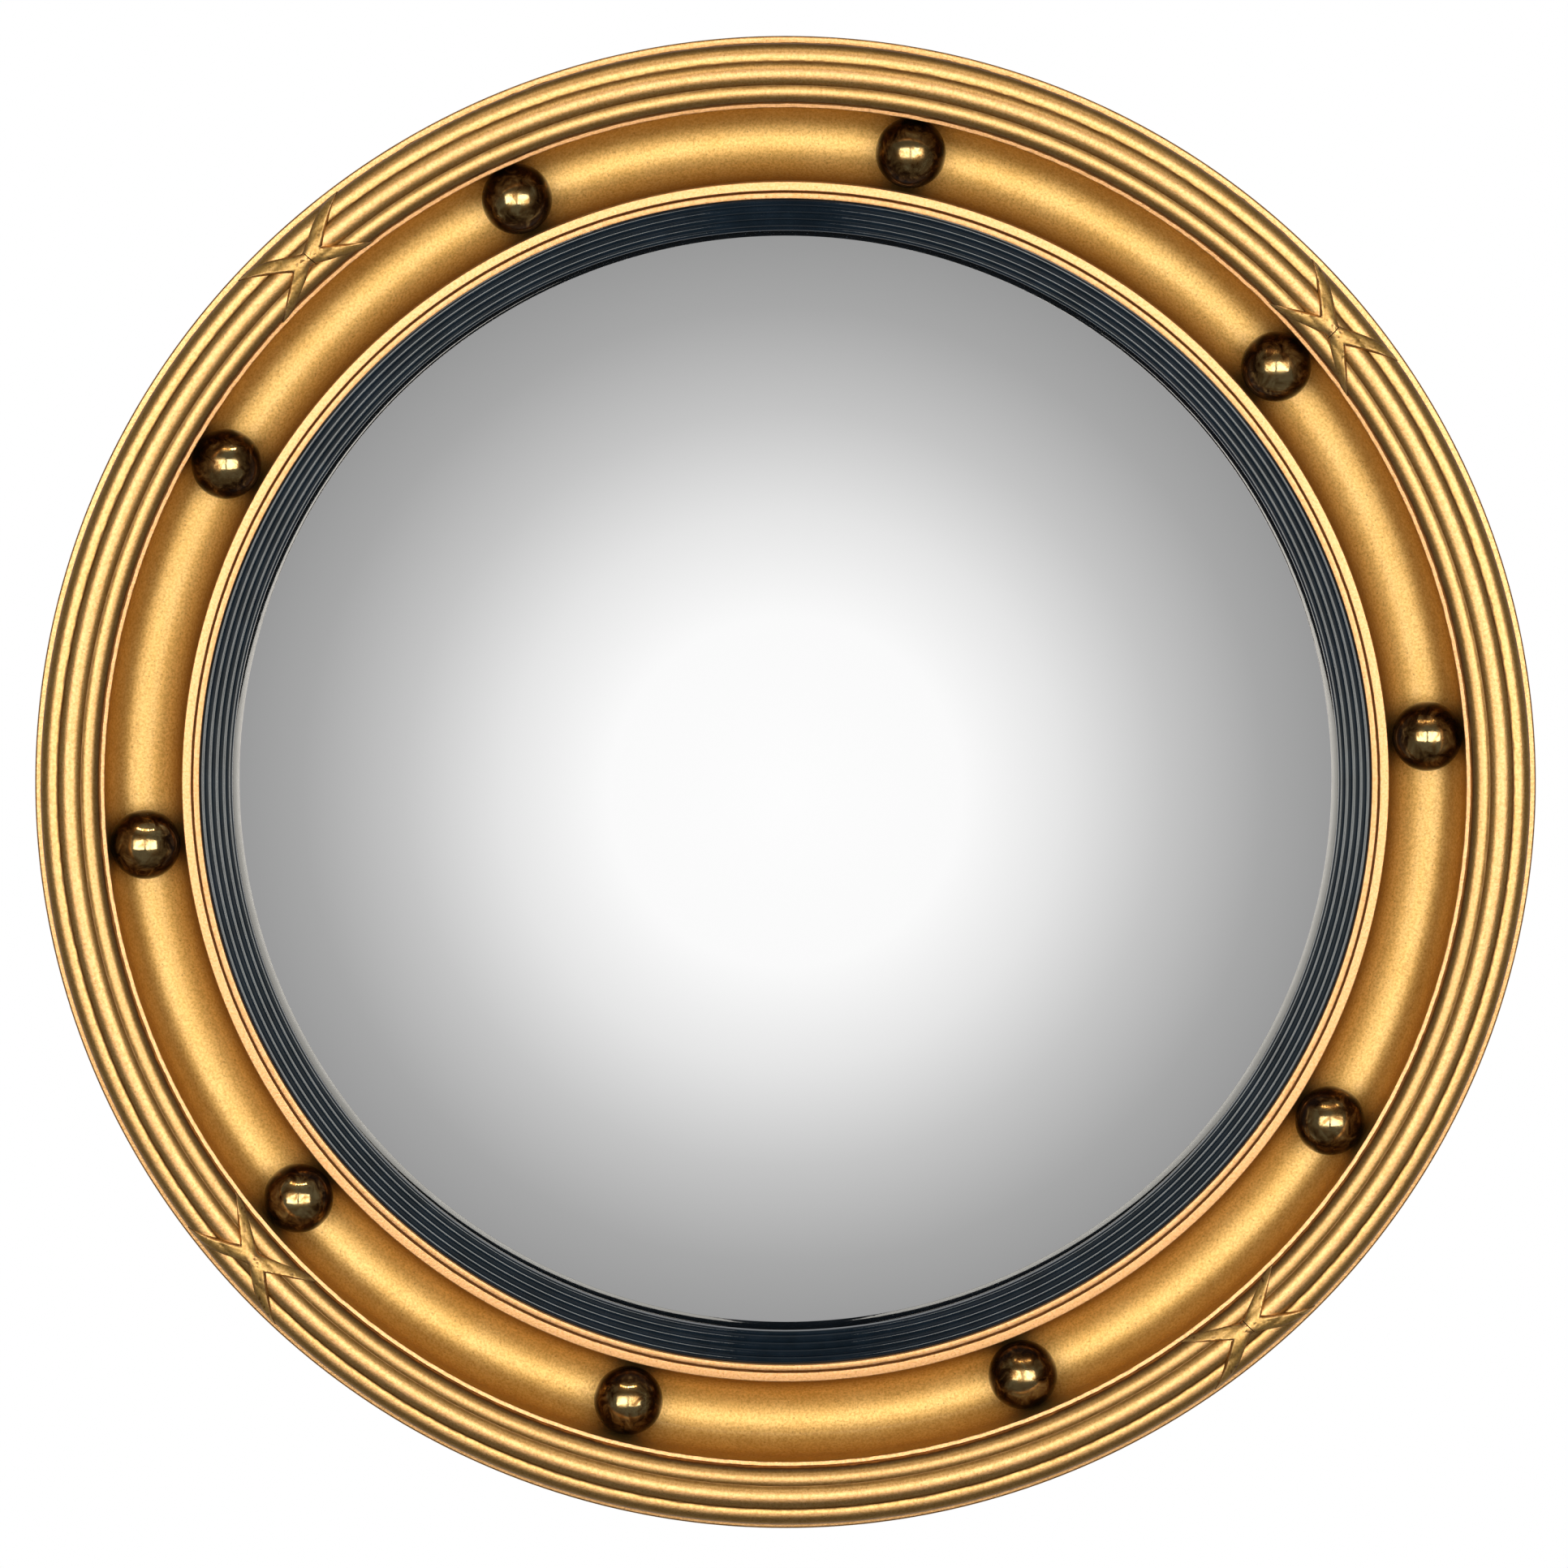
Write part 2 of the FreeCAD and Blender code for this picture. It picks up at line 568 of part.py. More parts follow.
# ---------------------------------------------------------------- turn buttons
# Stamped tongues that swing on a screw and hold the backboard in.
for number in range(int(SIZES["button_count"])):
    button = new_body("turn_button_%d" % (number + 1))
    outline = plane_sketch(button, "tongue_outline_%d" % (number + 1), "XZ_Plane")
    closed_outline(outline, [
        ("-Sizes.button_head_radius", "0"),
        ("0", "Sizes.button_head_radius", "Sizes.button_head_radius", -1),
        ("Sizes.button_head_radius", "0", "Sizes.button_head_radius", -1),
        ("Sizes.button_tip_radius", "-(Sizes.button_length - Sizes.button_tip_radius)"),
        ("0", "-Sizes.button_length", "Sizes.button_tip_radius", -1),
        ("-Sizes.button_tip_radius", "-(Sizes.button_length - Sizes.button_tip_radius)",
         "Sizes.button_tip_radius", -1),
    ])
    circle(outline, "0", "0", "Places.button_hole_radius")
    padded(button, "tongue_%d" % (number + 1), outline, "Sizes.button_thickness", backwards=True)
    across, up = around("Places.button_pivot_radius", button_angle(number))
    place(button, across, "Sizes.button_lift - Sizes.bumper_height", up, button_angle(number))


# ---------------------------------------------------------------- screws
def screw(body, name, axis, seat, shoulder):
    """A round-headed wood screw, parallel to the mirror's axis at X = axis. Its head
    sits at a height behind the back face, over a shoulder that ends at that face."""
    section = plane_sketch(body, name + "_section", "XY_Plane")
    back = "-Sizes.bumper_height"
    core = "Sizes.screw_core_diameter / 2"
    closed_outline(section, [
        (axis, back + " + %s + Sizes.screw_head_height" % seat),
        (axis, back + " - Sizes.screw_depth"),
        ("%s + %s" % (axis, core), back + " - Sizes.screw_depth + Sizes.screw_core_diameter"),
        ("%s + %s" % (axis, core), back),
        ("%s + %s" % (axis, shoulder), back),
        ("%s + %s" % (axis, shoulder), back + " + %s" % seat),
        (axis + " + Sizes.screw_head_diameter / 2", back + " + %s" % seat),
        (axis + " + Sizes.screw_head_diameter / 4", back + " + %s + Sizes.screw_head_height" % seat,
         "Sizes.screw_head_height", 1),
    ])
    centre_line = section.addGeometry(Part.LineSegment(
        FreeCAD.Vector(value(axis), 0, 0), FreeCAD.Vector(value(axis), 1, 0)), True)
    bind_point(section, centre_line, 1, axis, "0")
    section.addConstraint(Sketcher.Constraint("Vertical", centre_line))
    index = section.addConstraint(Sketcher.Constraint("Distance", centre_line, 1))
    section.renameConstraint(index, "centre_line_length")
    turning = body.newObject("PartDesign::Revolution", name)
    turning.Profile = section
    turning.ReferenceAxis = (section, ["Axis0"])
    turning.Angle = 360
    doc.recompute()
    return turning


button_screws = new_body("turn_button_screws")
first_screw = screw(button_screws, "button_screw", "Places.button_pivot_radius",
                    "Places.button_screw_seat", "Sizes.button_screw_shoulder_diameter / 2")
screw_ring = button_screws.newObject("PartDesign::PolarPattern", "button_screw_ring")
screw_ring.Originals = [first_screw]
axis_line = next(feature for feature in button_screws.Origin.OriginFeatures if feature.Role == "Y_Axis")
screw_ring.Axis = (axis_line, [""])
screw_ring.Angle = 360
screw_ring.setExpression("Occurrences", "Sizes.button_count")
button_screws.Tip = screw_ring
place(button_screws, "0", "0", "0", "Sizes.first_button_angle - 90")

hanger_screws = new_body("hanger_screws")
right_screw = screw(hanger_screws, "hanger_screw", "Sizes.hanger_screw_spacing / 2",
                    "Sizes.hanger_plate_thickness", "Sizes.hanger_screw_shank_diameter / 2")
screw_pair = hanger_screws.newObject("PartDesign::Mirrored", "hanger_screw_pair")
screw_pair.Originals = [right_screw]
mirror_plane = next(feature for feature in hanger_screws.Origin.OriginFeatures
                    if feature.Role == "YZ_Plane")
screw_pair.MirrorPlane = (mirror_plane, [""])
hanger_screws.Tip = screw_pair
place(hanger_screws, "0", "0", "Places.hanger_bar_radius")
doc.recompute()

# ---------------------------------------------------------------- hanger
# A plate with a knuckle across its middle, and the ring whose bar turns in the knuckle.
plate = new_body("hanger_plate")
outline = plane_sketch(plate, "plate_outline", "XZ_Plane")
half_width = "Sizes.hanger_plate_width / 2"
straight_half = "(Sizes.hanger_plate_length - Sizes.hanger_plate_width) / 2"
closed_outline(outline, [
    (straight_half, half_width),
    ("Sizes.hanger_plate_length / 2", "0", half_width, -1),
    (straight_half, "-" + half_width, half_width, -1),
    ("-" + straight_half, "-" + half_width),
    ("-Sizes.hanger_plate_length / 2", "0", half_width, -1),
    ("-" + straight_half, half_width, half_width, -1),
])
for side in (-1, 1):
    circle(outline, "%d * Sizes.hanger_screw_spacing / 2" % side, "0",
           "Sizes.hanger_screw_shank_diameter / 2 + Sizes.pilot_clearance")
padded(plate, "plate_strip", outline, "Sizes.hanger_plate_thickness", backwards=True)
arch = plane_sketch(plate, "knuckle_arch", "YZ_Plane")
closed_outline(arch, [
    ("Sizes.hanger_plate_thickness", "Places.knuckle_radius"),
    ("Places.hanger_bar_level", "Places.knuckle_radius"),
    ("Places.hanger_bar_level + Places.knuckle_radius", "0", "Places.knuckle_radius", -1),
    ("Places.hanger_bar_level", "-Places.knuckle_radius", "Places.knuckle_radius", -1),
    ("Sizes.hanger_plate_thickness", "-Places.knuckle_radius"),
    ("Sizes.hanger_plate_thickness", "-Places.knuckle_bore_radius"),
    ("Places.hanger_bar_level", "-Places.knuckle_bore_radius"),
    ("Places.hanger_bar_level + Places.knuckle_bore_radius", "0", "Places.knuckle_bore_radius", 1),
    ("Places.hanger_bar_level", "Places.knuckle_bore_radius", "Places.knuckle_bore_radius", 1),
    ("Sizes.hanger_plate_thickness", "Places.knuckle_bore_radius"),
])
padded(plate, "knuckle", arch, "Sizes.knuckle_length", midplane=True)
place(plate, "0", "-Sizes.bumper_height", "Places.hanger_bar_radius")

ring = new_body("hanger_ring")
route = plane_sketch(ring, "ring_route", "XZ_Plane")
half_ring = "Sizes.ring_width / 2"
corner_fall = "-Sizes.ring_corner_radius"
side_foot = "-(Sizes.ring_corner_radius + Sizes.ring_straight)"
closed_outline(route, [
    ("0", "0"),
    (half_ring + " - Sizes.ring_corner_radius", "0"),
    (half_ring, corner_fall, "Sizes.ring_corner_radius", -1),
    (half_ring, side_foot),
    ("0", side_foot + " - " + half_ring, half_ring, -1),
    ("-" + half_ring, side_foot, half_ring, -1),
    ("-" + half_ring, corner_fall),
    ("-(%s - Sizes.ring_corner_radius)" % half_ring, "0", "Sizes.ring_corner_radius", -1),
])
wire_section = plane_sketch(ring, "wire_section", "YZ_Plane")
circle(wire_section, "0", "0", "Sizes.hanger_wire_diameter / 2")
doc.recompute()
wire = ring.newObject("PartDesign::AdditivePipe", "ring_wire")
wire.Profile = wire_section
wire.Spine = (route, [])
place(ring, "0", "Places.hanger_bar_level - Sizes.bumper_height", "Places.hanger_bar_radius")
doc.recompute()

# ---------------------------------------------------------------- wall bumpers
# Rubber pads with a rounded rim that hold the hanger and the back clear of the wall.
for number in range(int(SIZES["bumper_count"])):
    bumper = new_body("wall_bumper_%d" % (number + 1))
    section = plane_sketch(bumper, "bumper_section_%d" % (number + 1), "XY_Plane")
    closed_outline(section, [
        ("0", "0"),
        ("Sizes.bumper_diameter / 2", "0"),
        ("Sizes.bumper_diameter / 2", "Sizes.bumper_height - Sizes.bumper_round"),
        ("Sizes.bumper_diameter / 2 - Sizes.bumper_round", "Sizes.bumper_height",
         "Sizes.bumper_round", 1),
        ("0", "Sizes.bumper_height"),
    ])
    revolved(bumper, "bumper_pad_%d" % (number + 1), section)
    angle = "(Sizes.first_bumper_angle + 360 / Sizes.bumper_count * %d)" % number
    across, up = around("Places.bumper_ring_radius", angle)
    place(bumper, across, "-Sizes.bumper_height", up)
doc.recompute()

# ---------------------------------------------------------------- checks and STEP files
for thing in doc.Objects:
    if "Invalid" in thing.State or "Error" in thing.State:
        raise ValueError("%s failed: %s" % (thing.Label, thing.State))

subparts = [thing for thing in doc.Objects if thing.TypeId == "PartDesign::Body"] + ties
for subpart in subparts:
    if subpart.Shape.isNull() or not subpart.Shape.isValid() or not subpart.Shape.Solids:
        raise ValueError("%s has no sound shape" % subpart.Label)

os.makedirs("parts", exist_ok=True)
for subpart in subparts:
    subpart.Shape.exportStep("parts/%s.step" % subpart.Label)
    print("%-22s %2d solids %10.1f mm3" % (
        subpart.Label, len(subpart.Shape.Solids), subpart.Shape.Volume))
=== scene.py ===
import math

import bmesh
import bpy
from mathutils import Matrix, Vector, kdtree, noise


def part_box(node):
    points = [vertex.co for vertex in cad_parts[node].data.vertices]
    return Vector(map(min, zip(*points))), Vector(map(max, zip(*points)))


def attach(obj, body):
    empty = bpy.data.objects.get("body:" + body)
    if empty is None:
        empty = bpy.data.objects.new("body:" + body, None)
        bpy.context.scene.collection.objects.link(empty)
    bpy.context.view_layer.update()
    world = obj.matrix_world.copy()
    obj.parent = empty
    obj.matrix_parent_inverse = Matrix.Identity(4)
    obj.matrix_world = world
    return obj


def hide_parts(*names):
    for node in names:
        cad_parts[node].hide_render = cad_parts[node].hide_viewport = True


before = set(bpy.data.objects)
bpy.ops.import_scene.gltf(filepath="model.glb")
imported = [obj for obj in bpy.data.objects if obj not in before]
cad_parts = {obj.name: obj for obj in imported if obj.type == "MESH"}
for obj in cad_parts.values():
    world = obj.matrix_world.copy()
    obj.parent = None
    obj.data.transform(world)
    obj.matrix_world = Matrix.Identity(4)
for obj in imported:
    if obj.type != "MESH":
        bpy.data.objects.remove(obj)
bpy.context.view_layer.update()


# ---------------------------------------------------------------- frame moulding
# One ring of wood, turned on a faceplate: an edge fillet, three reeds, a fillet, a deep cove,
# a flat bead with an incised line, and the lip over the slip. Pieces are drawn in millimetres.
MM = 0.001
moulding_low, moulding_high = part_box("frame_moulding")
OUTER_RADIUS = moulding_high[0] / MM
BACK = moulding_high[1] / MM
FRAME_DEPTH = (moulding_high[1] - moulding_low[1]) / MM

EDGE_INNER = OUTER_RADIUS - 1.9
OUTER_GROOVE = EDGE_INNER - 4.95
INNER_GROOVE = OUTER_GROOVE - 6.3
REED_INNER = INNER_GROOVE - 4.75
FILLET_INNER = REED_INNER - 1.15
COVE_UNDERCUT = 1.25
COVE_OUTER_ARC = 10
COVE_INNER_ARC = 10.8
BALL_RING = FILLET_INNER + COVE_UNDERCUT - COVE_OUTER_ARC
BEAD_OUTER = BALL_RING - COVE_INNER_ARC
BEAD_INNER = BEAD_OUTER - 2.75
INCISED_WIDTH = 0.4
STEP_OUTER = BEAD_INNER - INCISED_WIDTH
LIP = STEP_OUTER - 1.55
REBATE = LIP + 2
BOARD_REBATE = REBATE + 6.3
BACK_RADIUS = OUTER_RADIUS - 7
BACK_CHAMFER = 1.5

FLARE_FOOT = 17
FLARE_TOP = 28.5
FLARE_ARC = 14
EDGE_HEIGHT = 32
FILLET_HEIGHT = 34
BEAD_HEIGHT = 22
STEP_HEIGHT = 21.7
INCISED_FLOOR = STEP_HEIGHT - 0.35
LIP_BACK = 18
BOARD_THICKNESS = 3
EDGE_ROUND = 0.6
BEAD_ROUND = 0.4
COVE_FLOOR = BEAD_HEIGHT - BEAD_ROUND - COVE_INNER_ARC
COVE_OUTER_LEVEL = COVE_FLOOR + COVE_OUTER_ARC
COVE_WALL_RISE = FILLET_HEIGHT - COVE_OUTER_LEVEL
COVE_WALL_ARC = (COVE_WALL_RISE ** 2 + COVE_UNDERCUT ** 2) / (2 * COVE_UNDERCUT)

# each reed: the radius that it runs on, the level of its centre and its own radius
MIDDLE_REED_ARC = 3.8
MIDDLE_REED = (OUTER_GROOVE + INNER_GROOVE) / 2
MIDDLE_LEVEL = FRAME_DEPTH - MIDDLE_REED_ARC
GROOVE_HEIGHT = MIDDLE_LEVEL + math.sqrt(
    MIDDLE_REED_ARC ** 2 - (OUTER_GROOVE - MIDDLE_REED) ** 2)
OUTER_REED_ARC = 3.6
OUTER_REED = EDGE_INNER - OUTER_REED_ARC
OUTER_LEVEL = GROOVE_HEIGHT - math.sqrt(OUTER_REED_ARC ** 2 - (OUTER_REED - OUTER_GROOVE) ** 2)
INNER_REED_ARC = 3.1
INNER_REED = REED_INNER + INNER_REED_ARC
INNER_LEVEL = GROOVE_HEIGHT - math.sqrt(INNER_REED_ARC ** 2 - (INNER_GROOVE - INNER_REED) ** 2)
REEDS = [(OUTER_REED, OUTER_LEVEL, OUTER_REED_ARC), (MIDDLE_REED, MIDDLE_LEVEL, MIDDLE_REED_ARC),
         (INNER_REED, INNER_LEVEL, INNER_REED_ARC)]


def corners_of(parts):
    """The vertices among the parts that an operator returns."""
    return [part for part in parts if isinstance(part, bmesh.types.BMVert)]


def draw_outline(mesh, corners, arc_steps=10, close=True):
    """Draws corners in the XY plane. A corner is (x, y), or (x, y, radius, turn) where an arc
    leads to it, with its centre on the left of the way for turn 1 and on the right for -1."""
    spots = [Vector((corner[0], corner[1], 0)) for corner in corners]
    last = mesh.verts.new(spots[-1] if close else spots[0])
    for number in range(0 if close else 1, len(corners)):
        start, finish = spots[number - 1], spots[number]
        if len(corners[number]) == 2:
            following = mesh.verts.new(finish)
            mesh.edges.new((last, following))
            last = following
            continue
        radius, turn = corners[number][2:]
        chord = finish - start
        rise = math.sqrt(max(0, radius ** 2 - (chord.length / 2) ** 2))
        to_left = Vector((-chord.y, chord.x, 0)).normalized()
        centre = (start + finish) / 2 + to_left * rise * turn
        sweep = 2 * math.asin(min(1, chord.length / 2 / radius)) * turn
        swung = bmesh.ops.spin(mesh, geom=[last], cent=centre, axis=(0, 0, 1), angle=sweep,
                               steps=arc_steps)
        last = next(iter(corners_of(swung["geom_last"])))
    bmesh.ops.remove_doubles(mesh, verts=mesh.verts, dist=0.001)


def ease_corners(mesh, width, segments=2, least_angle=35):
    """Rounds the sharp corners of an outline a little, as sanding and paint do."""
    sharp = []
    for vertex in mesh.verts:
        if len(vertex.link_edges) == 2:
            one, other = (edge.other_vert(vertex).co - vertex.co for edge in vertex.link_edges)
            if math.degrees(math.pi - one.angle(other)) > least_angle:
                sharp.append(vertex)
    bmesh.ops.bevel(mesh, geom=sharp, offset=width, offset_type="OFFSET", segments=segments,
                    profile=0.5, affect="VERTICES", material=-1)


def turn_round(mesh, steps):
    """Turns the outline about the mirror's axis."""
    bmesh.ops.spin(mesh, geom=mesh.verts[:] + mesh.edges[:], cent=(0, 0, 0), axis=(0, 1, 0),
                   angle=math.tau, steps=steps, use_merge=True)
    bmesh.ops.remove_doubles(mesh, verts=mesh.verts, dist=0.001)
    bmesh.ops.recalc_face_normals(mesh, faces=mesh.faces)


def finish_piece(name, mesh, body, materials, replaced=(), sharp_angle=40):
    """Makes an object of a mesh drawn in millimetres and gives it its body and finish."""
    bmesh.ops.scale(mesh, vec=(MM, MM, MM), verts=mesh.verts)
    data = bpy.data.meshes.new(name)
    mesh.to_mesh(data)
    mesh.free()
    data.shade_smooth()
    data.set_sharp_from_angle(angle=math.radians(sharp_angle))
    for material in materials:
        data.materials.append(material)
    piece = bpy.data.objects.new(name, data)
    bpy.context.scene.collection.objects.link(piece)
    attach(piece, body)
    if replaced:
        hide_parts(*replaced)
    return piece


def hex_colour(text):
    """An sRGB hex colour as a shader's linear red, green, blue and alpha."""
    channels = [int(text[start:start + 2], 16) / 255 for start in (1, 3, 5)]
    return [c / 12.92 if c <= 0.04045 else ((c + 0.055) / 1.055) ** 2.4 for c in channels] + [1]


def give(tree, node, sockets):
    """Gives a node's inputs their values, or links them to other nodes: to the output that is
    named, or else to the first one."""
    for socket, source in sockets.items():
        if isinstance(source, bpy.types.Node):
            source = source.outputs[0]
        if isinstance(source, bpy.types.NodeSocket):
            tree.links.new(source, node.inputs[socket])
        else:
            node.inputs[socket].default_value = source


def add(tree, kind, sockets=None, stops=None, **settings):
    """Adds a node with its settings and inputs. stops are the places and colours of a ramp."""
    node = tree.nodes.new("ShaderNode" + kind)
    for setting, chosen in settings.items():
        setattr(node, setting, chosen)
    give(tree, node, sockets or {})
    for number, (place, colour) in enumerate(stops or []):
        if number >= len(node.color_ramp.elements):
            node.color_ramp.elements.new(place)
        node.color_ramp.elements[number].position = place
        node.color_ramp.elements[number].color = colour
    return node


def new_material(name):
    material = bpy.data.materials.new(name)
    material.use_nodes = True
    return material, material.node_tree, material.node_tree.nodes["Principled BSDF"]


def in_millimetres(tree):
    """The place of each point on the object, in mm, for patterns of a real size."""
    place = add(tree, "TexCoord").outputs["Object"]
    return add(tree, "VectorMath", {0: place, 1: (1 / MM, 1 / MM, 1 / MM)}, operation="MULTIPLY")


def grey(level):
    return (level, level, level, 1)


# How much brown glaze and painted shade darken the gold, from the lip out to the edge: the
# glaze stays in the quirks and beside the reeds, painted shade darkens the same hollows, both
# walls of the cove and the outer edge, and both were wiped off what stands proud.
GLAZE_AND_PAINTED_SHADE = [
    (LIP, 0.1), (STEP_OUTER - 0.1, 0.1), (STEP_OUTER + 0.05, 0.9),
    (BEAD_INNER, 0.9), (BEAD_INNER + 0.2, 0), (BEAD_OUTER - 0.3, 0), (BEAD_OUTER + 0.2, 0.8),
    (BEAD_OUTER + 1.6, 0.6), (BEAD_OUTER + 4.8, 0), (BALL_RING + 4, 0), (FILLET_INNER - 1.4, 0.5),
    (FILLET_INNER - 0.3, 0.6), (FILLET_INNER + 0.05, 1), (FILLET_INNER + 0.2, 0),
    (REED_INNER - 0.2, 0), (REED_INNER + 0.05, 1), (REED_INNER + 1.1, 0.55), (INNER_REED, 0),
    (INNER_GROOVE - 0.9, 0.05), (INNER_GROOVE - 0.1, 0.9), (INNER_GROOVE + 0.8, 0.35),
    (MIDDLE_REED - 1, 0), (MIDDLE_REED + 1.6, 0), (OUTER_GROOVE - 0.8, 0.3),
    (OUTER_GROOVE + 0.1, 1), (OUTER_GROOVE + 0.6, 0), (OUTER_REED + 0.6, 0),
    (EDGE_INNER - 1.1, 0.5), (EDGE_INNER + 0.05, 1), (EDGE_INNER + 0.2, 0),
    (OUTER_RADIUS - 0.35, 0), (OUTER_RADIUS, 0.7),
]
# How far the gold was rubbed pale and burnished bright, with a painted highlight in the pale:
# the flats and the crests most, the cove not at all.
RUBBED_AND_HIGHLIT = [
    (LIP, 1), (BEAD_OUTER - 0.2, 1), (BEAD_OUTER + 0.1, 0), (FILLET_INNER - 0.1, 0),
    (FILLET_INNER + 0.1, 1), (REED_INNER, 1), (REED_INNER + 0.3, 0.4), (INNER_REED, 0.9),
    (INNER_GROOVE, 0.4), (MIDDLE_REED - 0.6, 0.9), (MIDDLE_REED + 0.6, 0.9), (OUTER_GROOVE, 0.4),
    (OUTER_REED, 0.9), (EDGE_INNER - 0.3, 0.4), (EDGE_INNER, 0.9),
]


def across_moulding(tree, in_mm, amounts, waver):
    """Reads an amount off the radius that each point of the moulding carries. The lines waver
    by some mm, as wiped glaze does."""
    carried = add(tree, "Attribute", attribute_name="across").outputs["Fac"]
    drift = add(tree, "TexNoise", {"Vector": in_mm, "Scale": 1 / 4, "Detail": 5})
    shift = add(tree, "MapRange", {"Value": drift, "From Min": 0.25,
                                   "From Max": 0.75, "To Min": -waver, "To Max": waver})
    waved = add(tree, "Math", {0: carried, 1: shift}, operation="ADD")
    part = add(tree, "MapRange", {"Value": waved, "From Min": LIP, "From Max": OUTER_RADIUS})
    stops = [((radius - LIP) / (OUTER_RADIUS - LIP), grey(amount)) for radius, amount in amounts]
    return add(tree, "ValToRGB", {"Fac": part}, stops=stops)


def glaze_and_shade_in_hollows(tree, in_mm):
    return across_moulding(tree, in_mm, GLAZE_AND_PAINTED_SHADE, 0.22)


def rubbed_and_highlit_flats(tree, in_mm):
    return across_moulding(tree, in_mm, RUBBED_AND_HIGHLIT, 0.1)


def gold_paint(name, glaze_and_shade_kept, wear_and_highlight):
    """Bronze-powder gold paint over gesso, sprayed, toned with a brown glaze and wiped back: a
    satin metal with fine speckle, dark lines in the quirks that are glaze and painted shade, and
    pale crests that are rubbed and burnished and carry a painted highlight. The powder's grain is
    drawn at 0.7 mm, coarser than it is, so that it shows."""
    material, tree, shader = new_material(name)
    in_mm = in_millimetres(tree)
    # glaze with painted shade in the hollows; wear, burnish and a painted highlight on the crests
    glaze_and_shade = glaze_and_shade_kept(tree, in_mm)
    rubbed_and_highlit = wear_and_highlight(tree, in_mm)
    cloud = add(tree, "TexNoise", {"Vector": in_mm, "Scale": 1 / 16, "Detail": 5, "Roughness": 0.6})
    grain = add(tree, "TexNoise", {"Vector": in_mm, "Scale": 1 / 0.7, "Detail": 3,
                                   "Roughness": 0.7})
    speck = add(tree, "TexVoronoi", {"Vector": in_mm, "Scale": 1 / 1.6})
    specks = add(tree, "MapRange", {"Value": speck.outputs["Distance"], "From Min": 0.06,
                                    "From Max": 0.2, "To Min": 0.35, "To Max": 0})
    gold_tone = add(tree, "Mix", {"Factor": cloud, 6: hex_colour("#FDE09E"),
                                  7: hex_colour("#ECC470")}, data_type="RGBA").outputs[2]
    # the pale of the rubbed crests, which also paints their highlight
    paler = add(tree, "Math", {0: rubbed_and_highlit, 1: 2}, operation="POWER")
    toned = add(tree, "Mix", {"Factor": paler, 6: gold_tone, 7: hex_colour("#D8AC82")},
                data_type="RGBA").outputs[2]
    dappled = add(tree, "MapRange", {"Value": grain, "From Min": 0.4, "From Max": 0.64,
                                     "To Min": 0, "To Max": 0.5})
    dusted = add(tree, "Mix", {"Factor": dappled, 6: toned, 7: hex_colour("#AE8230")},
                 data_type="RGBA").outputs[2]
    # the glaze colour, which also paints the shade of the hollows
    glazed_and_shaded = add(tree, "Mix", {"Factor": glaze_and_shade, 6: dusted, 7: hex_colour("#5A380A")},
                 data_type="RGBA").outputs[2]
    spotted = add(tree, "Mix", {"Factor": specks, 6: glazed_and_shaded, 7: hex_colour("#4A2A0E")},
                  data_type="RGBA").outputs[2]
    metal = add(tree, "MapRange", {"Value": glaze_and_shade, "To Min": 0.95, "To Max": 0.85})
    dull = add(tree, "MapRange", {"Value": rubbed_and_highlit, "To Min": 0.48, "To Max": 0.26})
    rough = add(tree, "Math", {0: grain, 1: 0.12, 2: dull}, operation="MULTIPLY_ADD")
    relief = add(tree, "Bump", {"Height": grain, "Strength": 0.5, "Distance": 0.14 * MM})
    give(tree, shader, {
        "Base Color": spotted, "Metallic": metal, "Roughness": rough,
        "Normal": relief, "Specular Tint": hex_colour("#F0C880"), "Coat Weight": 0.4,
        "Coat Tint": hex_colour("#F8E8C8"), "Coat Roughness": 0.22, "Coat IOR": 1.5})
    return material


def bare_wood():
    """Turned beech left bare at the back: pale and dull, with streaks of its grain."""
    material, tree, shader = new_material("turned_beech")
    in_mm = in_millimetres(tree)
    along = add(tree, "Mapping", {"Vector": in_mm, "Scale": (1 / 40, 1 / 2, 1 / 2)})
    grain = add(tree, "TexNoise", {"Vector": along, "Scale": 1, "Detail": 6, "Roughness": 0.65})
    colour = add(tree, "ValToRGB", {"Fac": grain},
                 stops=[(0.3, hex_colour("#8A6038")), (0.7, hex_colour("#C49A68"))])
    relief = add(tree, "Bump", {"Height": grain, "Strength": 0.3, "Distance": 0.1 * MM})
    give(tree, shader, {"Base Color": colour, "Roughness": 0.75, "Normal": relief})
    return material


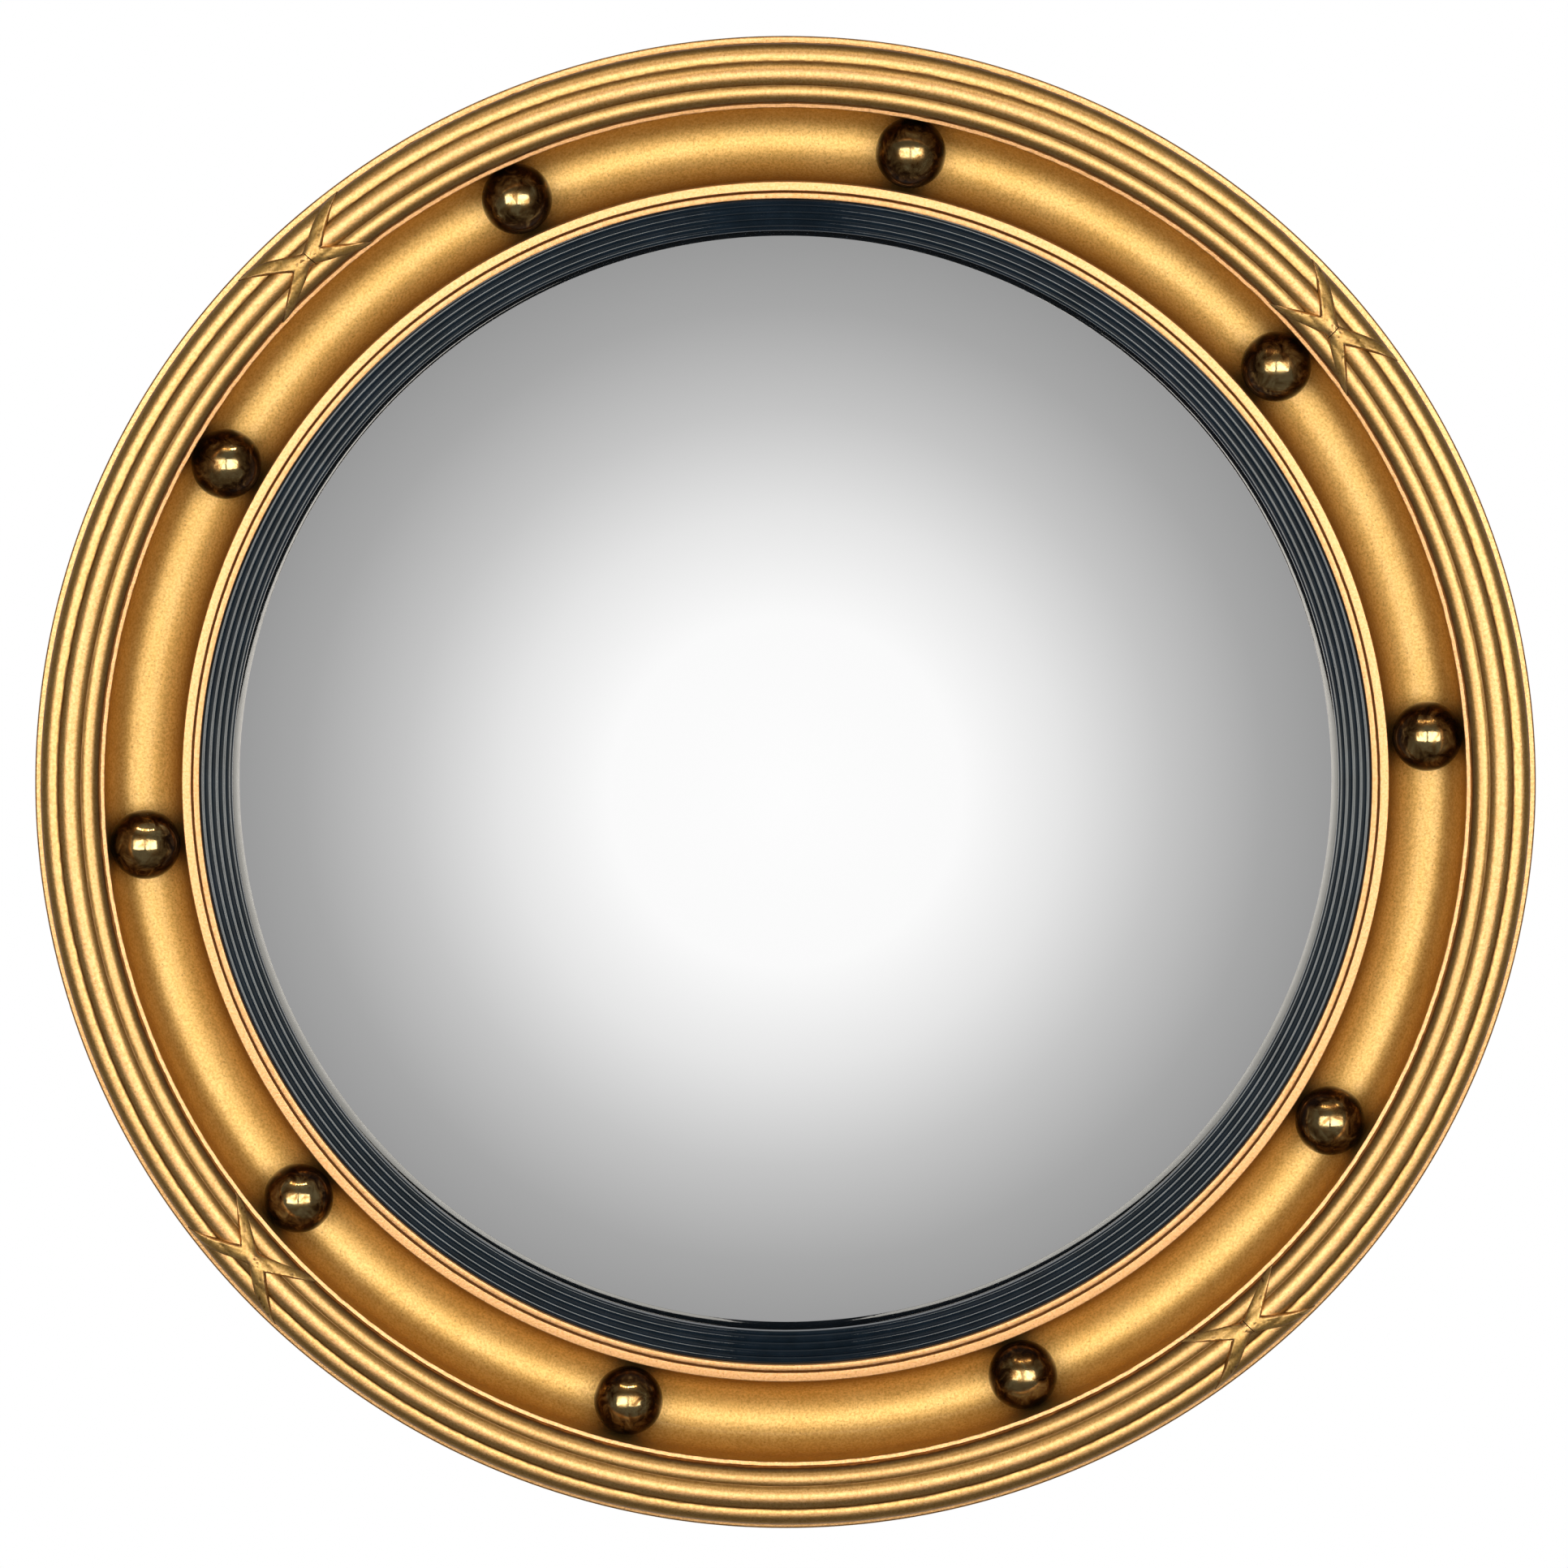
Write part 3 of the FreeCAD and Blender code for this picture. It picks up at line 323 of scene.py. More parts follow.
moulding = bmesh.new()
draw_outline(moulding, [(corner[0], BACK - corner[1]) + tuple(corner[2:]) for corner in [
    (BOARD_REBATE, 0),
    (BACK_RADIUS - BACK_CHAMFER, 0),
    (BACK_RADIUS, BACK_CHAMFER),
    (BACK_RADIUS, FLARE_FOOT),
    (OUTER_RADIUS, FLARE_TOP, FLARE_ARC, 1),
    (OUTER_RADIUS, EDGE_HEIGHT - EDGE_ROUND),
    (OUTER_RADIUS - EDGE_ROUND, EDGE_HEIGHT, EDGE_ROUND, -1),
    (EDGE_INNER, EDGE_HEIGHT),
    (EDGE_INNER, OUTER_LEVEL),
    (OUTER_GROOVE, GROOVE_HEIGHT, OUTER_REED_ARC, -1),
    (INNER_GROOVE, GROOVE_HEIGHT, MIDDLE_REED_ARC, -1),
    (REED_INNER, INNER_LEVEL, INNER_REED_ARC, -1),
    (REED_INNER, FILLET_HEIGHT),
    (FILLET_INNER, FILLET_HEIGHT),
    (BALL_RING + COVE_OUTER_ARC, COVE_OUTER_LEVEL, COVE_WALL_ARC, 1),
    (BALL_RING, COVE_FLOOR, COVE_OUTER_ARC, 1),
    (BEAD_OUTER, BEAD_HEIGHT - BEAD_ROUND, COVE_INNER_ARC, 1),
    (BEAD_OUTER - BEAD_ROUND, BEAD_HEIGHT, BEAD_ROUND, -1),
    (BEAD_INNER + BEAD_ROUND, BEAD_HEIGHT),
    (BEAD_INNER, BEAD_HEIGHT - BEAD_ROUND, BEAD_ROUND, -1),
    (BEAD_INNER - INCISED_WIDTH / 2, INCISED_FLOOR),
    (STEP_OUTER, STEP_HEIGHT),
    (LIP, STEP_HEIGHT),
    (LIP, LIP_BACK),
    (REBATE, LIP_BACK),
    (REBATE, BOARD_THICKNESS),
    (BOARD_REBATE, BOARD_THICKNESS),
]])
ease_corners(moulding, 0.15)
turn_round(moulding, 360)
carried_radius = moulding.verts.layers.float.new("across")
for vertex in moulding.verts:
    radius, height = math.hypot(vertex.co.x, vertex.co.z), BACK - vertex.co.y
    if height < FILLET_HEIGHT - 0.1 and radius < REED_INNER + 0.2:
        # the cove's wall overhangs, so it counts as part of the cove and not of the fillet, and
        # takes the painted shade under the cove's wall
        radius = min(radius, FILLET_INNER - (FILLET_HEIGHT - height) / 10)
    vertex[carried_radius] = radius
# the gilding stops at the chamfer of the back and at the rebate
for face in moulding.faces:
    centre = face.calc_center_median()
    at_back = centre.y > BACK - BACK_CHAMFER + 0.1
    in_rebate = math.hypot(centre.x, centre.z) < BOARD_REBATE + 0.1
    face.material_index = 1 if (at_back or in_rebate) and face.normal.y > -0.1 else 0
gold = gold_paint("gold_paint_with_glaze_and_painted_light", glaze_and_shade_in_hollows, rubbed_and_highlit_flats)
gilded_pieces = [finish_piece("gilded_moulding", moulding, "mirror",
                              [gold, bare_wood()], replaced=["frame_moulding"])]


# ---------------------------------------------------------------- balls
# Balls turned in wood, each glued by its spigot into a socket in the floor of the cove, and
# finished apart in a dark bronze lacquer that shines more than the gold around them.
BALLS = 10
BALL_RADIUS = 9.5
SPIGOT_RADIUS = 2
SPIGOT_LENGTH = 5
BALL_LEVEL = COVE_FLOOR + BALL_RADIUS


def bronze_lacquer():
    """Bronze lacquer on turned wood, polished by hand: dark, glossy and mottled with patina. It is
    lighter at the front, where the ball stands out and is rubbed, with a painted highlight there,
    and darker round the rest as painted shade."""
    material, tree, shader = new_material("bronze_lacquer_with_patina")
    in_mm = in_millimetres(tree)
    patches = add(tree, "TexNoise", {"Vector": in_mm, "Scale": 1 / 4, "Detail": 7,
                                     "Roughness": 0.68, "Distortion": 0.8})
    pits = add(tree, "TexNoise", {"Vector": in_mm, "Scale": 1 / 0.9, "Detail": 3})
    rubbed_and_highlit = add(tree, "Attribute", attribute_name="rubbed_and_highlit").outputs["Fac"]
    # the front is painted lighter, as wear and a painted highlight, and the rest darker towards the
    # rim, as painted shade
    wear_and_painted_light = add(tree, "MapRange", {"Value": rubbed_and_highlit, "From Min": 0.45, "From Max": 1,
                                  "To Min": -0.2, "To Max": 0.12})
    shown = add(tree, "Math", {0: patches, 1: wear_and_painted_light}, operation="ADD")
    colour = add(tree, "ValToRGB", {"Fac": shown}, stops=[
        (0.3, hex_colour("#26150A")), (0.42, hex_colour("#5C3C1C")), (0.54, hex_colour("#AE8A54")),
        (0.68, hex_colour("#EAD298"))])
    rough = add(tree, "MapRange", {"Value": patches, "From Min": 0.35, "From Max": 0.65,
                                   "To Min": 0.3, "To Max": 0.06})
    relief = add(tree, "Bump", {"Height": pits, "Strength": 0.2, "Distance": 0.08 * MM})
    give(tree, shader, {"Base Color": colour, "Metallic": 0.9,
                        "Roughness": rough, "Normal": relief})
    return material


bronze = bronze_lacquer()
for number in range(1, BALLS + 1):
    node = "ball_%02d" % number
    low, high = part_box(node)
    across, up = (low[0] + high[0]) / 2 / MM, (low[2] + high[2]) / 2 / MM
    ball = bmesh.new()
    draw_outline(ball, [
        (0, -BALL_RADIUS),
        (SPIGOT_RADIUS, math.sqrt(BALL_RADIUS ** 2 - SPIGOT_RADIUS ** 2), BALL_RADIUS, 1),
        (SPIGOT_RADIUS, BALL_RADIUS + SPIGOT_LENGTH),
        (0, BALL_RADIUS + SPIGOT_LENGTH),
    ], arc_steps=28, close=False)
    turn_round(ball, 56)
    # how far each point faces the room: there the ball is rubbed and takes its painted highlight
    rubbed_and_highlit = ball.verts.layers.float.new("rubbed_and_highlit")
    for vertex in ball.verts:
        vertex[rubbed_and_highlit] = max(0, -vertex.co.y / BALL_RADIUS)
    bmesh.ops.translate(ball, vec=(across, BACK - BALL_LEVEL, up), verts=ball.verts)
    finish_piece("turned_ball_%02d" % number, ball, "mirror", [bronze],
                 replaced=[node])


# ---------------------------------------------------------------- ribbon ties
# Crossed ribbons pressed in composition from a mould, warmed and laid over the reeds, so that
# they bridge the grooves. The sides of the notches are crisp, and the waists are worn round.
TIE_ANGLES = [49.5, 139.3, 228.8, 318.4]
CROSSING = Vector((0, -0.9))
NOTCH = Vector((4.8, -0.9))
WAIST_HALF_WIDTH = 2.05
OUTER_TIP = Vector((17.2, 8.2))
INNER_TIP = Vector((17.2, -8.3))
RIBBON_THICKNESS = 1.2
RIBBON_SUNK = 0.5
STEPS_IN_CROSSING = 10
STEPS_ALONG_LIMB = 30
STEPS_ACROSS = 12
DIRT_AND_SHADE_WIDTH = 0.35
CRACK_HALF_WIDTH = 0.14
CRACK_DEPTH = 0.55
CRACK_SLANT = 0.12
CRACK_FROM = -3.4
CRACK_TO = 0.9
CRACKS = [0.4, -0.9, None, 0.6]


def limb_point(down, across, tip):
    """A place on one limb. down runs from -1 at the crossing, past 0 where the limb leaves it,
    to 1 at the tip, and across from 0 beside the notch to 1 beside the waist."""
    side = math.copysign(1, tip.y)
    waist = CROSSING + Vector((0, side * WAIST_HALF_WIDTH))
    if down < 0:
        return CROSSING.lerp(NOTCH.lerp(waist, across), 1 + down)
    by_notch = NOTCH + Vector(((tip.x - NOTCH.x) * down,
                               (tip.y - NOTCH.y) * down * (1.15 - 0.15 * down)))
    bow = math.sin(math.pi / 2 * min(1, 1.1 * down)) ** 1.25
    by_waist = Vector((tip.x * down, waist.y + (tip.y - waist.y) * bow))
    return by_notch.lerp(by_waist, across)


def rounded(part):
    """Rises from 0 to 1 as the edge of a rounded ribbon does."""
    return math.sqrt(1 - (1 - min(1, part)) ** 2)


def reed_surface(radius):
    """Height of the reeds at a radius."""
    number = 0 if radius > OUTER_GROOVE else 1 if radius > INNER_GROOVE else 2
    centre, level, arc = REEDS[number]
    return level + math.sqrt(max(0, arc ** 2 - (radius - centre) ** 2))


def edge_tree(across):
    """Finds how far a place is from the notch sides (0) or from the waist sides (1)."""
    spots = []
    for tip in (OUTER_TIP, INNER_TIP):
        for step in range(STEPS_ALONG_LIMB + 1):
            spot = limb_point(step / STEPS_ALONG_LIMB, across, tip)
            spots += [(spot.x, spot.y, 0), (-spot.x, spot.y, 0)]
    tree = kdtree.KDTree(len(spots))
    for number, spot in enumerate(spots):
        tree.insert(spot, number)
    tree.balance()
    return tree


notch_sides = edge_tree(0)
waist_sides = edge_tree(1)


def flat_tie(mesh, crack):
    """The crossed outline as a flat skin of four limbs, which meet in the crossing."""
    steps = STEPS_IN_CROSSING + STEPS_ALONG_LIMB
    for tip in (OUTER_TIP, INNER_TIP):
        for side in (-1, 1):
            limb = bmesh.ops.create_grid(mesh, x_segments=steps, y_segments=STEPS_ACROSS, size=1)
            for vertex in limb["verts"]:
                beyond = (vertex.co.x + 1) / 2 * steps - STEPS_IN_CROSSING
                down = beyond / (STEPS_IN_CROSSING if beyond < 0 else STEPS_ALONG_LIMB)
                spot = limb_point(down, (vertex.co.y + 1) / 2, tip)
                vertex.co = (spot.x * side, spot.y, 0)
    bmesh.ops.remove_doubles(mesh, verts=mesh.verts, dist=0.002)
    if crack is not None:
        for offset in (-CRACK_HALF_WIDTH, 0, CRACK_HALF_WIDTH):
            bmesh.ops.bisect_plane(mesh, geom=mesh.verts[:] + mesh.edges[:] + mesh.faces[:],
                                   plane_co=(crack + offset, 0, 0), plane_no=(1, CRACK_SLANT, 0))
    bmesh.ops.recalc_face_normals(mesh, faces=mesh.faces)


def lay_on_reeds(vertex, top, crack, angle, glaze_and_shade, rubbed_and_highlit):
    """Lifts a place of the flat tie to the ribbon's top or to its underside."""
    along, out = vertex.co.x, vertex.co.y
    from_notch = notch_sides.find(vertex.co)[2]
    from_waist = waist_sides.find(vertex.co)[2]
    reeds = reed_surface(min(max(MIDDLE_REED + out, REED_INNER + 0.1), EDGE_INNER - 0.1))
    height = reeds - RIBBON_SUNK
    # the underside and the fillet at its foot take the darkest tone: glaze with painted shade
    vertex[glaze_and_shade] = 1
    if top:
        far = min(1, abs(along) / OUTER_TIP.x)
        arch = FRAME_DEPTH - 0.0625 * out ** 2
        base = reeds + (arch - reeds) * (0.7 - 0.4 * far ** 2)
        seed = Vector((along / 2.2, out / 2.2, angle))
        lump = noise.noise(seed) * 0.12
        chip = max(0, noise.noise(seed * 2.6 + Vector((7, 3, 1))) - 0.32) * 1.6
        ribbon = (RIBBON_THICKNESS - 0.5 * far ** 1.5) * (0.7 + 0.3 * rounded(from_notch / 0.45))
        ribbon *= 0.15 + 0.85 * rounded(from_waist / 2.2)
        height = base + ribbon + lump * min(1, from_notch + from_waist) - chip * min(ribbon, 0.5)
        # darker along the rounded waist sides as painted shade, in the chips, and away from the
        # notch sides towards the tips; paler near the crossing and along the crisp notch sides, as
        # wear with a painted highlight
        vertex[glaze_and_shade] = min(1, 0.7 * (1 - rounded(from_waist / 1.5)) + chip
                            + 0.45 * min(1, from_notch) * min(1, 0.2 + 1.6 * far))
        vertex[rubbed_and_highlit] = max(0.1, 0.8 - 3 * far, 1 - from_notch / 0.8)
        if crack is not None:
            gap = abs(along - crack + CRACK_SLANT * out) / CRACK_HALF_WIDTH
            if gap < 1 and CRACK_FROM < out < CRACK_TO:
                height -= CRACK_DEPTH * (1 - gap)
                vertex[glaze_and_shade] = 1 - gap
    elif from_notch < 0.02:
        # a dark fillet along the foot of the ribbon's crisp side: glaze and dirt, with painted
        # contact shade
        foot = vertex.co - waist_sides.find(vertex.co)[0]
        along, out = Vector((along, out)) + foot.to_2d().normalized() * DIRT_AND_SHADE_WIDTH
        height = reeds - 0.05
    turned_by = math.radians(angle) + along / MIDDLE_REED
    vertex.co = ((MIDDLE_REED + out) * math.sin(turned_by), BACK - height,
                 (MIDDLE_REED + out) * math.cos(turned_by))


def glaze_and_shade_on_ribbons(tree, in_mm):
    """The ties carry how much glaze and painted shade darken them, as a value at each of their
    points.
    """
    return add(tree, "Attribute", attribute_name="glaze_and_shade").outputs["Fac"]


def rubbed_and_highlit_ribbons(tree, in_mm):
    return add(tree, "Attribute", attribute_name="rubbed_and_highlit").outputs["Fac"]


ribbon_gold = gold_paint("gold_paint_on_ribbon_ties", glaze_and_shade_on_ribbons, rubbed_and_highlit_ribbons)
for number, (angle, crack) in enumerate(zip(TIE_ANGLES, CRACKS), start=1):
    tie = bmesh.new()
    glaze_and_shade_layer = tie.verts.layers.float.new("glaze_and_shade")
    rubbed_and_highlit = tie.verts.layers.float.new("rubbed_and_highlit")
    flat_tie(tie, crack)
    skin = bmesh.ops.extrude_face_region(tie, geom=tie.faces[:], use_keep_orig=True)["geom"]
    raised = set(corners_of(skin))
    for vertex in tie.verts:
        lay_on_reeds(vertex, vertex in raised, crack, angle, glaze_and_shade_layer, rubbed_and_highlit)
    bmesh.ops.recalc_face_normals(tie, faces=tie.faces)
    gilded_pieces.append(finish_piece(
        "crossed_ribbon_%d" % number, tie, "mirror", [ribbon_gold],
        replaced=["ribbon_tie_%d" % number], sharp_angle=50))


# ---------------------------------------------------------------- ebonised slip
# A thin ring of wood, reeded on its face, stained and lacquered black. Its flange lies behind
# the lip of the moulding, and it holds the rim of the glass.
SLIP_FIT = 0.2
SLIP_WIDTH = 8.4
SLIP_OUTER = LIP - SLIP_FIT
SIGHT = SLIP_OUTER - SLIP_WIDTH
SLIP_FLANGE = REBATE - SLIP_FIT
SLIP_TOP = 20.3
SLIP_SIGHT_TOP = 17.3
SLIP_SEAT = 14
SLIP_REEDS = 4
SLIP_REED_ARC = 1.2
SLIP_EDGE_BEAD = 1
SLIP_BEAD_ARC = 0.7
CONVEX_RADIUS = 572
GLASS_UNDER_SLIP = 4.4
GLASS_FIT = 0.3
SEAT_PLAY = 0.05
GLASS_RADIUS = SIGHT + GLASS_UNDER_SLIP
COLLAR = GLASS_RADIUS + GLASS_FIT
GLASS_SLOPE = GLASS_RADIUS / math.sqrt(CONVEX_RADIUS ** 2 - GLASS_RADIUS ** 2)
SLIP_BACK = SLIP_SEAT - (COLLAR - SIGHT) * GLASS_SLOPE


def black_lacquer():
    """Wood stained black under gloss lacquer: blue-black, with sharp thin lights on each reed."""
    material, tree, shader = new_material("ebonised_wood_gloss_lacquer")
    in_mm = in_millimetres(tree)
    bloom = add(tree, "TexNoise", {"Vector": in_mm, "Scale": 1 / 7, "Detail": 4})
    colour = add(tree, "Mix", {"Factor": bloom, 6: hex_colour("#020406"),
                               7: hex_colour("#081018")}, data_type="RGBA")
    rough = add(tree, "MapRange", {"Value": bloom, "To Min": 0.02, "To Max": 0.07})
    relief = add(tree, "Bump", {"Height": bloom, "Strength": 0.15, "Distance": 0.2 * MM})
    give(tree, shader, {
        "Base Color": colour.outputs[2], "Roughness": rough, "Normal": relief,
        "IOR": 1.6, "Specular IOR Level": 0.8, "Specular Tint": hex_colour("#E8F0F4")})
    return material


slip_fall = (SLIP_TOP - SLIP_SIGHT_TOP) / SLIP_REEDS
slip_reed = (SLIP_OUTER - SIGHT - SLIP_EDGE_BEAD) / SLIP_REEDS
slip_corners = [
    (SIGHT, SLIP_SEAT),
    (COLLAR, SLIP_BACK),
    (SLIP_FLANGE, SLIP_BACK),
    (SLIP_FLANGE, LIP_BACK),
    (SLIP_OUTER, LIP_BACK),
    (SLIP_OUTER, SLIP_TOP),
]
for number in range(1, SLIP_REEDS + 1):
    slip_corners.append((SLIP_OUTER - number * slip_reed, SLIP_TOP - number * slip_fall,
                         SLIP_REED_ARC, -1))
slip_corners.append((SIGHT, SLIP_SIGHT_TOP - slip_fall / 2, SLIP_BEAD_ARC, -1))
slip = bmesh.new()
draw_outline(slip, [(corner[0], BACK - corner[1]) + tuple(corner[2:]) for corner in slip_corners],
             arc_steps=8)
turn_round(slip, 300)
slip_piece = finish_piece("reeded_slip", slip, "mirror", [black_lacquer()],
                          replaced=["ebonised_slip"], sharp_angle=50)


# ---------------------------------------------------------------- convex glass
# Plate glass bent over a mould to a shallow dome and silvered on its hollow side.
GLASS_THICKNESS = 3
GLASS_APEX = SLIP_SEAT - SEAT_PLAY + CONVEX_RADIUS - math.sqrt(CONVEX_RADIUS ** 2 - SIGHT ** 2)
GLASS_EDGE = GLASS_APEX - CONVEX_RADIUS + math.sqrt(CONVEX_RADIUS ** 2 - GLASS_RADIUS ** 2)
CONCAVE_RADIUS = CONVEX_RADIUS - GLASS_THICKNESS
GLASS_FOOT = (GLASS_APEX - GLASS_THICKNESS - CONCAVE_RADIUS
              + math.sqrt(CONCAVE_RADIUS ** 2 - GLASS_RADIUS ** 2))


def silvered_glass():
    """Polished glass over silver: it shows the room, bent small, with hardly any tint."""
    material, tree, shader = new_material("silvered_convex_glass")
    in_mm = in_millimetres(tree)
    haze = add(tree, "TexNoise", {"Vector": in_mm, "Scale": 1 / 60, "Detail": 2})
    rough = add(tree, "MapRange", {"Value": haze, "To Min": 0.01, "To Max": 0.03})
    give(tree, shader, {"Base Color": hex_colour("#FAFAFA"), "Metallic": 1, "Roughness": rough})
    return material


glass = bmesh.new()
draw_outline(glass, [
    (0, BACK - GLASS_APEX),
    (GLASS_RADIUS, BACK - GLASS_EDGE, CONVEX_RADIUS, 1),
    (GLASS_RADIUS, BACK - GLASS_FOOT),
    (0, BACK - GLASS_APEX + GLASS_THICKNESS, CONCAVE_RADIUS, -1),
], arc_steps=48, close=False)
turn_round(glass, 240)
glass_piece = finish_piece("convex_mirror_glass", glass, "mirror",
                           [silvered_glass()], replaced=["mirror_glass"])


# ---------------------------------------------------------------- packing ring
# A ring of cork behind the rim of the glass, dropped in from the back: its shelf takes the
# glass, and its collar centres it.
PACKING_OUTER = SLIP_FLANGE
PACKING_WIDTH = 11.4
SHELF_PLAY = 0.1
PACKING_INNER = PACKING_OUTER - PACKING_WIDTH
PACKING_SHELF = GLASS_FOOT - SHELF_PLAY - GLASS_FIT * GLASS_SLOPE


def cork():
    """Pressed cork: granules of several browns, dull and soft."""
    material, tree, shader = new_material("pressed_cork")
    in_mm = in_millimetres(tree)
    granules = add(tree, "TexVoronoi", {"Vector": in_mm, "Scale": 1 / 1.8})
    colour = add(tree, "ValToRGB", {"Fac": granules.outputs["Color"]}, stops=[
        (0.2, hex_colour("#7C5832")), (0.6, hex_colour("#B58A58")), (0.9, hex_colour("#C9A374"))])
    relief = add(tree, "Bump", {"Height": granules.outputs["Distance"], "Strength": 0.4,
                                "Distance": 0.2 * MM})
    give(tree, shader, {"Base Color": colour, "Roughness": 0.9, "Normal": relief})
    return material


packing = bmesh.new()
draw_outline(packing, [(radius, BACK - height) for radius, height in [
    (PACKING_INNER, BOARD_THICKNESS),
    (PACKING_OUTER, BOARD_THICKNESS),
    (PACKING_OUTER, SLIP_BACK - SEAT_PLAY),
    (COLLAR, SLIP_BACK - SEAT_PLAY),
    (COLLAR, PACKING_SHELF),
    (PACKING_INNER, PACKING_SHELF + (COLLAR - PACKING_INNER) * GLASS_SLOPE),
]])
ease_corners(packing, 0.2)
turn_round(packing, 180)
finish_piece("cork_packing_ring", packing, "mirror", [cork()], replaced=["packing_ring"])


# ---------------------------------------------------------------- backboard
# A disc of hardboard that drops into the rebate, flush with the back, and keeps out the dust.
BOARD_FIT = 0.3
BOARD_RADIUS = BOARD_REBATE - BOARD_FIT


def hardboard():
    """Hardboard, smooth side out: pressed brown fibre with paler flecks and water stains."""
    material, tree, shader = new_material("hardboard")
    in_mm = in_millimetres(tree)
    fibres = add(tree, "TexNoise", {"Vector": in_mm, "Scale": 1 / 2.5, "Detail": 6,
                                    "Roughness": 0.7})
    stains = add(tree, "TexNoise", {"Vector": in_mm, "Scale": 1 / 60, "Detail": 3})
    colour = add(tree, "ValToRGB", {"Fac": fibres}, stops=[
        (0.3, hex_colour("#6B4A30")), (0.7, hex_colour("#94704C"))])
    aged = add(tree, "Mix", {"Factor": stains, 6: colour,
                             7: hex_colour("#7D5B3C")}, data_type="RGBA").outputs[2]
    relief = add(tree, "Bump", {"Height": fibres, "Strength": 0.3, "Distance": 0.1 * MM})
    give(tree, shader, {"Base Color": aged, "Roughness": 0.65, "Normal": relief})
    return material


board = bmesh.new()
draw_outline(board, [(0, BACK - BOARD_THICKNESS), (BOARD_RADIUS, BACK - BOARD_THICKNESS),
                     (BOARD_RADIUS, BACK), (0, BACK)], close=False)
ease_corners(board, 0.2)
turn_round(board, 240)
finish_piece("hardboard_back", board, "mirror", [hardboard()], replaced=["backboard"])


# ---------------------------------------------------------------- turn buttons
# Tongues stamped from brass sheet, which swing on their screws over the edge of the board.
BUTTON_PIVOT = BACK_RADIUS - 15
BUTTON_LENGTH = 21
BUTTON_HEAD = 6
BUTTON_TIP = 4
BUTTON_THICKNESS = 1.2
BUTTON_LIFT = 0.15
SCREW_SHOULDER = 3.4
SHEET_ROUND = 0.2


def aged_brass():
    """Stamped brass gone dull with age, browner in patches, with fine scratches, drawn a third of
    a mm wide so that they show."""
    material, tree, shader = new_material("aged_brass")
    in_mm = in_millimetres(tree)
    tarnish = add(tree, "TexNoise", {"Vector": in_mm, "Scale": 1 / 4, "Detail": 5})
    drawn = add(tree, "Mapping", {"Vector": in_mm, "Scale": (1 / 8, 3, 3)})
    scratches = add(tree, "TexNoise", {"Vector": drawn, "Scale": 1, "Detail": 3})
    colour = add(tree, "ValToRGB", {"Fac": tarnish}, stops=[
        (0.35, hex_colour("#A88238")), (0.65, hex_colour("#D8B25E"))])
    rough = add(tree, "MapRange", {"Value": tarnish, "To Min": 0.45, "To Max": 0.22})
    relief = add(tree, "Bump", {"Height": scratches, "Strength": 0.15, "Distance": 0.05 * MM})
    give(tree, shader, {"Base Color": colour, "Metallic": 1, "Roughness": rough, "Normal": relief})
    return material


def cut_from_sheet(mesh, thickness, edge_round):
    """Fills the outlines drawn in the XY plane, gives them a thickness, rounds their edges, and
    stands the plate up, with its front at Y = 0 and its back turned to the wall."""
    bmesh.ops.triangle_fill(mesh, use_beauty=True, edges=mesh.edges)
    bmesh.ops.recalc_face_normals(mesh, faces=mesh.faces)
    lifted = bmesh.ops.extrude_face_region(mesh, geom=mesh.faces[:], use_keep_orig=True)["geom"]
    bmesh.ops.translate(mesh, vec=(0, 0, -thickness),
                        verts=corners_of(lifted))
    bmesh.ops.recalc_face_normals(mesh, faces=mesh.faces)
    rims = [edge for edge in mesh.edges if edge.calc_face_angle(0) > math.radians(60)]
    bmesh.ops.bevel(mesh, geom=rims, offset=edge_round, offset_type="OFFSET", segments=2,
                    profile=0.5, affect="EDGES", material=-1)
    bmesh.ops.rotate(mesh, matrix=Matrix.Rotation(math.radians(90), 3, "X"), verts=mesh.verts)


brass = aged_brass()
for number in range(4):
    angle = math.radians(45 + 90 * number)
    button = bmesh.new()
    bmesh.ops.create_circle(button, segments=24, radius=SCREW_SHOULDER / 2 + 0.05)
    draw_outline(button, [
        (-BUTTON_HEAD, 0),
        (0, BUTTON_HEAD, BUTTON_HEAD, -1),
        (BUTTON_HEAD, 0, BUTTON_HEAD, -1),
        (BUTTON_TIP, BUTTON_TIP - BUTTON_LENGTH),
        (0, -BUTTON_LENGTH, BUTTON_TIP, -1),
        (-BUTTON_TIP, BUTTON_TIP - BUTTON_LENGTH, BUTTON_TIP, -1),
    ])
    cut_from_sheet(button, BUTTON_THICKNESS, SHEET_ROUND)
    bmesh.ops.translate(button, vec=(0, BACK + BUTTON_LIFT, BUTTON_PIVOT), verts=button.verts)
    bmesh.ops.rotate(button, matrix=Matrix.Rotation(angle, 3, "Y"), verts=button.verts)
    node = "turn_button_%d" % (number + 1)
    finish_piece("stamped_" + node, button, node, [brass], replaced=[node])


# ---------------------------------------------------------------- screws
# Round-headed brass wood screws: four are the pivots of the turn buttons, two hold the hanger.
SCREW_HEAD = 6.5
SCREW_HEAD_HEIGHT = 2
SCREW_RIM = 0.25
SCREW_CORE = 2.7
SCREW_DEPTH = 8
SCREW_SLOT = 1
SLOT_DEPTH = 0.9
HANGER_PLATE_THICKNESS = 1
HANGER_SCREW_SPACING = 27
HANGER_BAR = BACK_RADIUS - 18


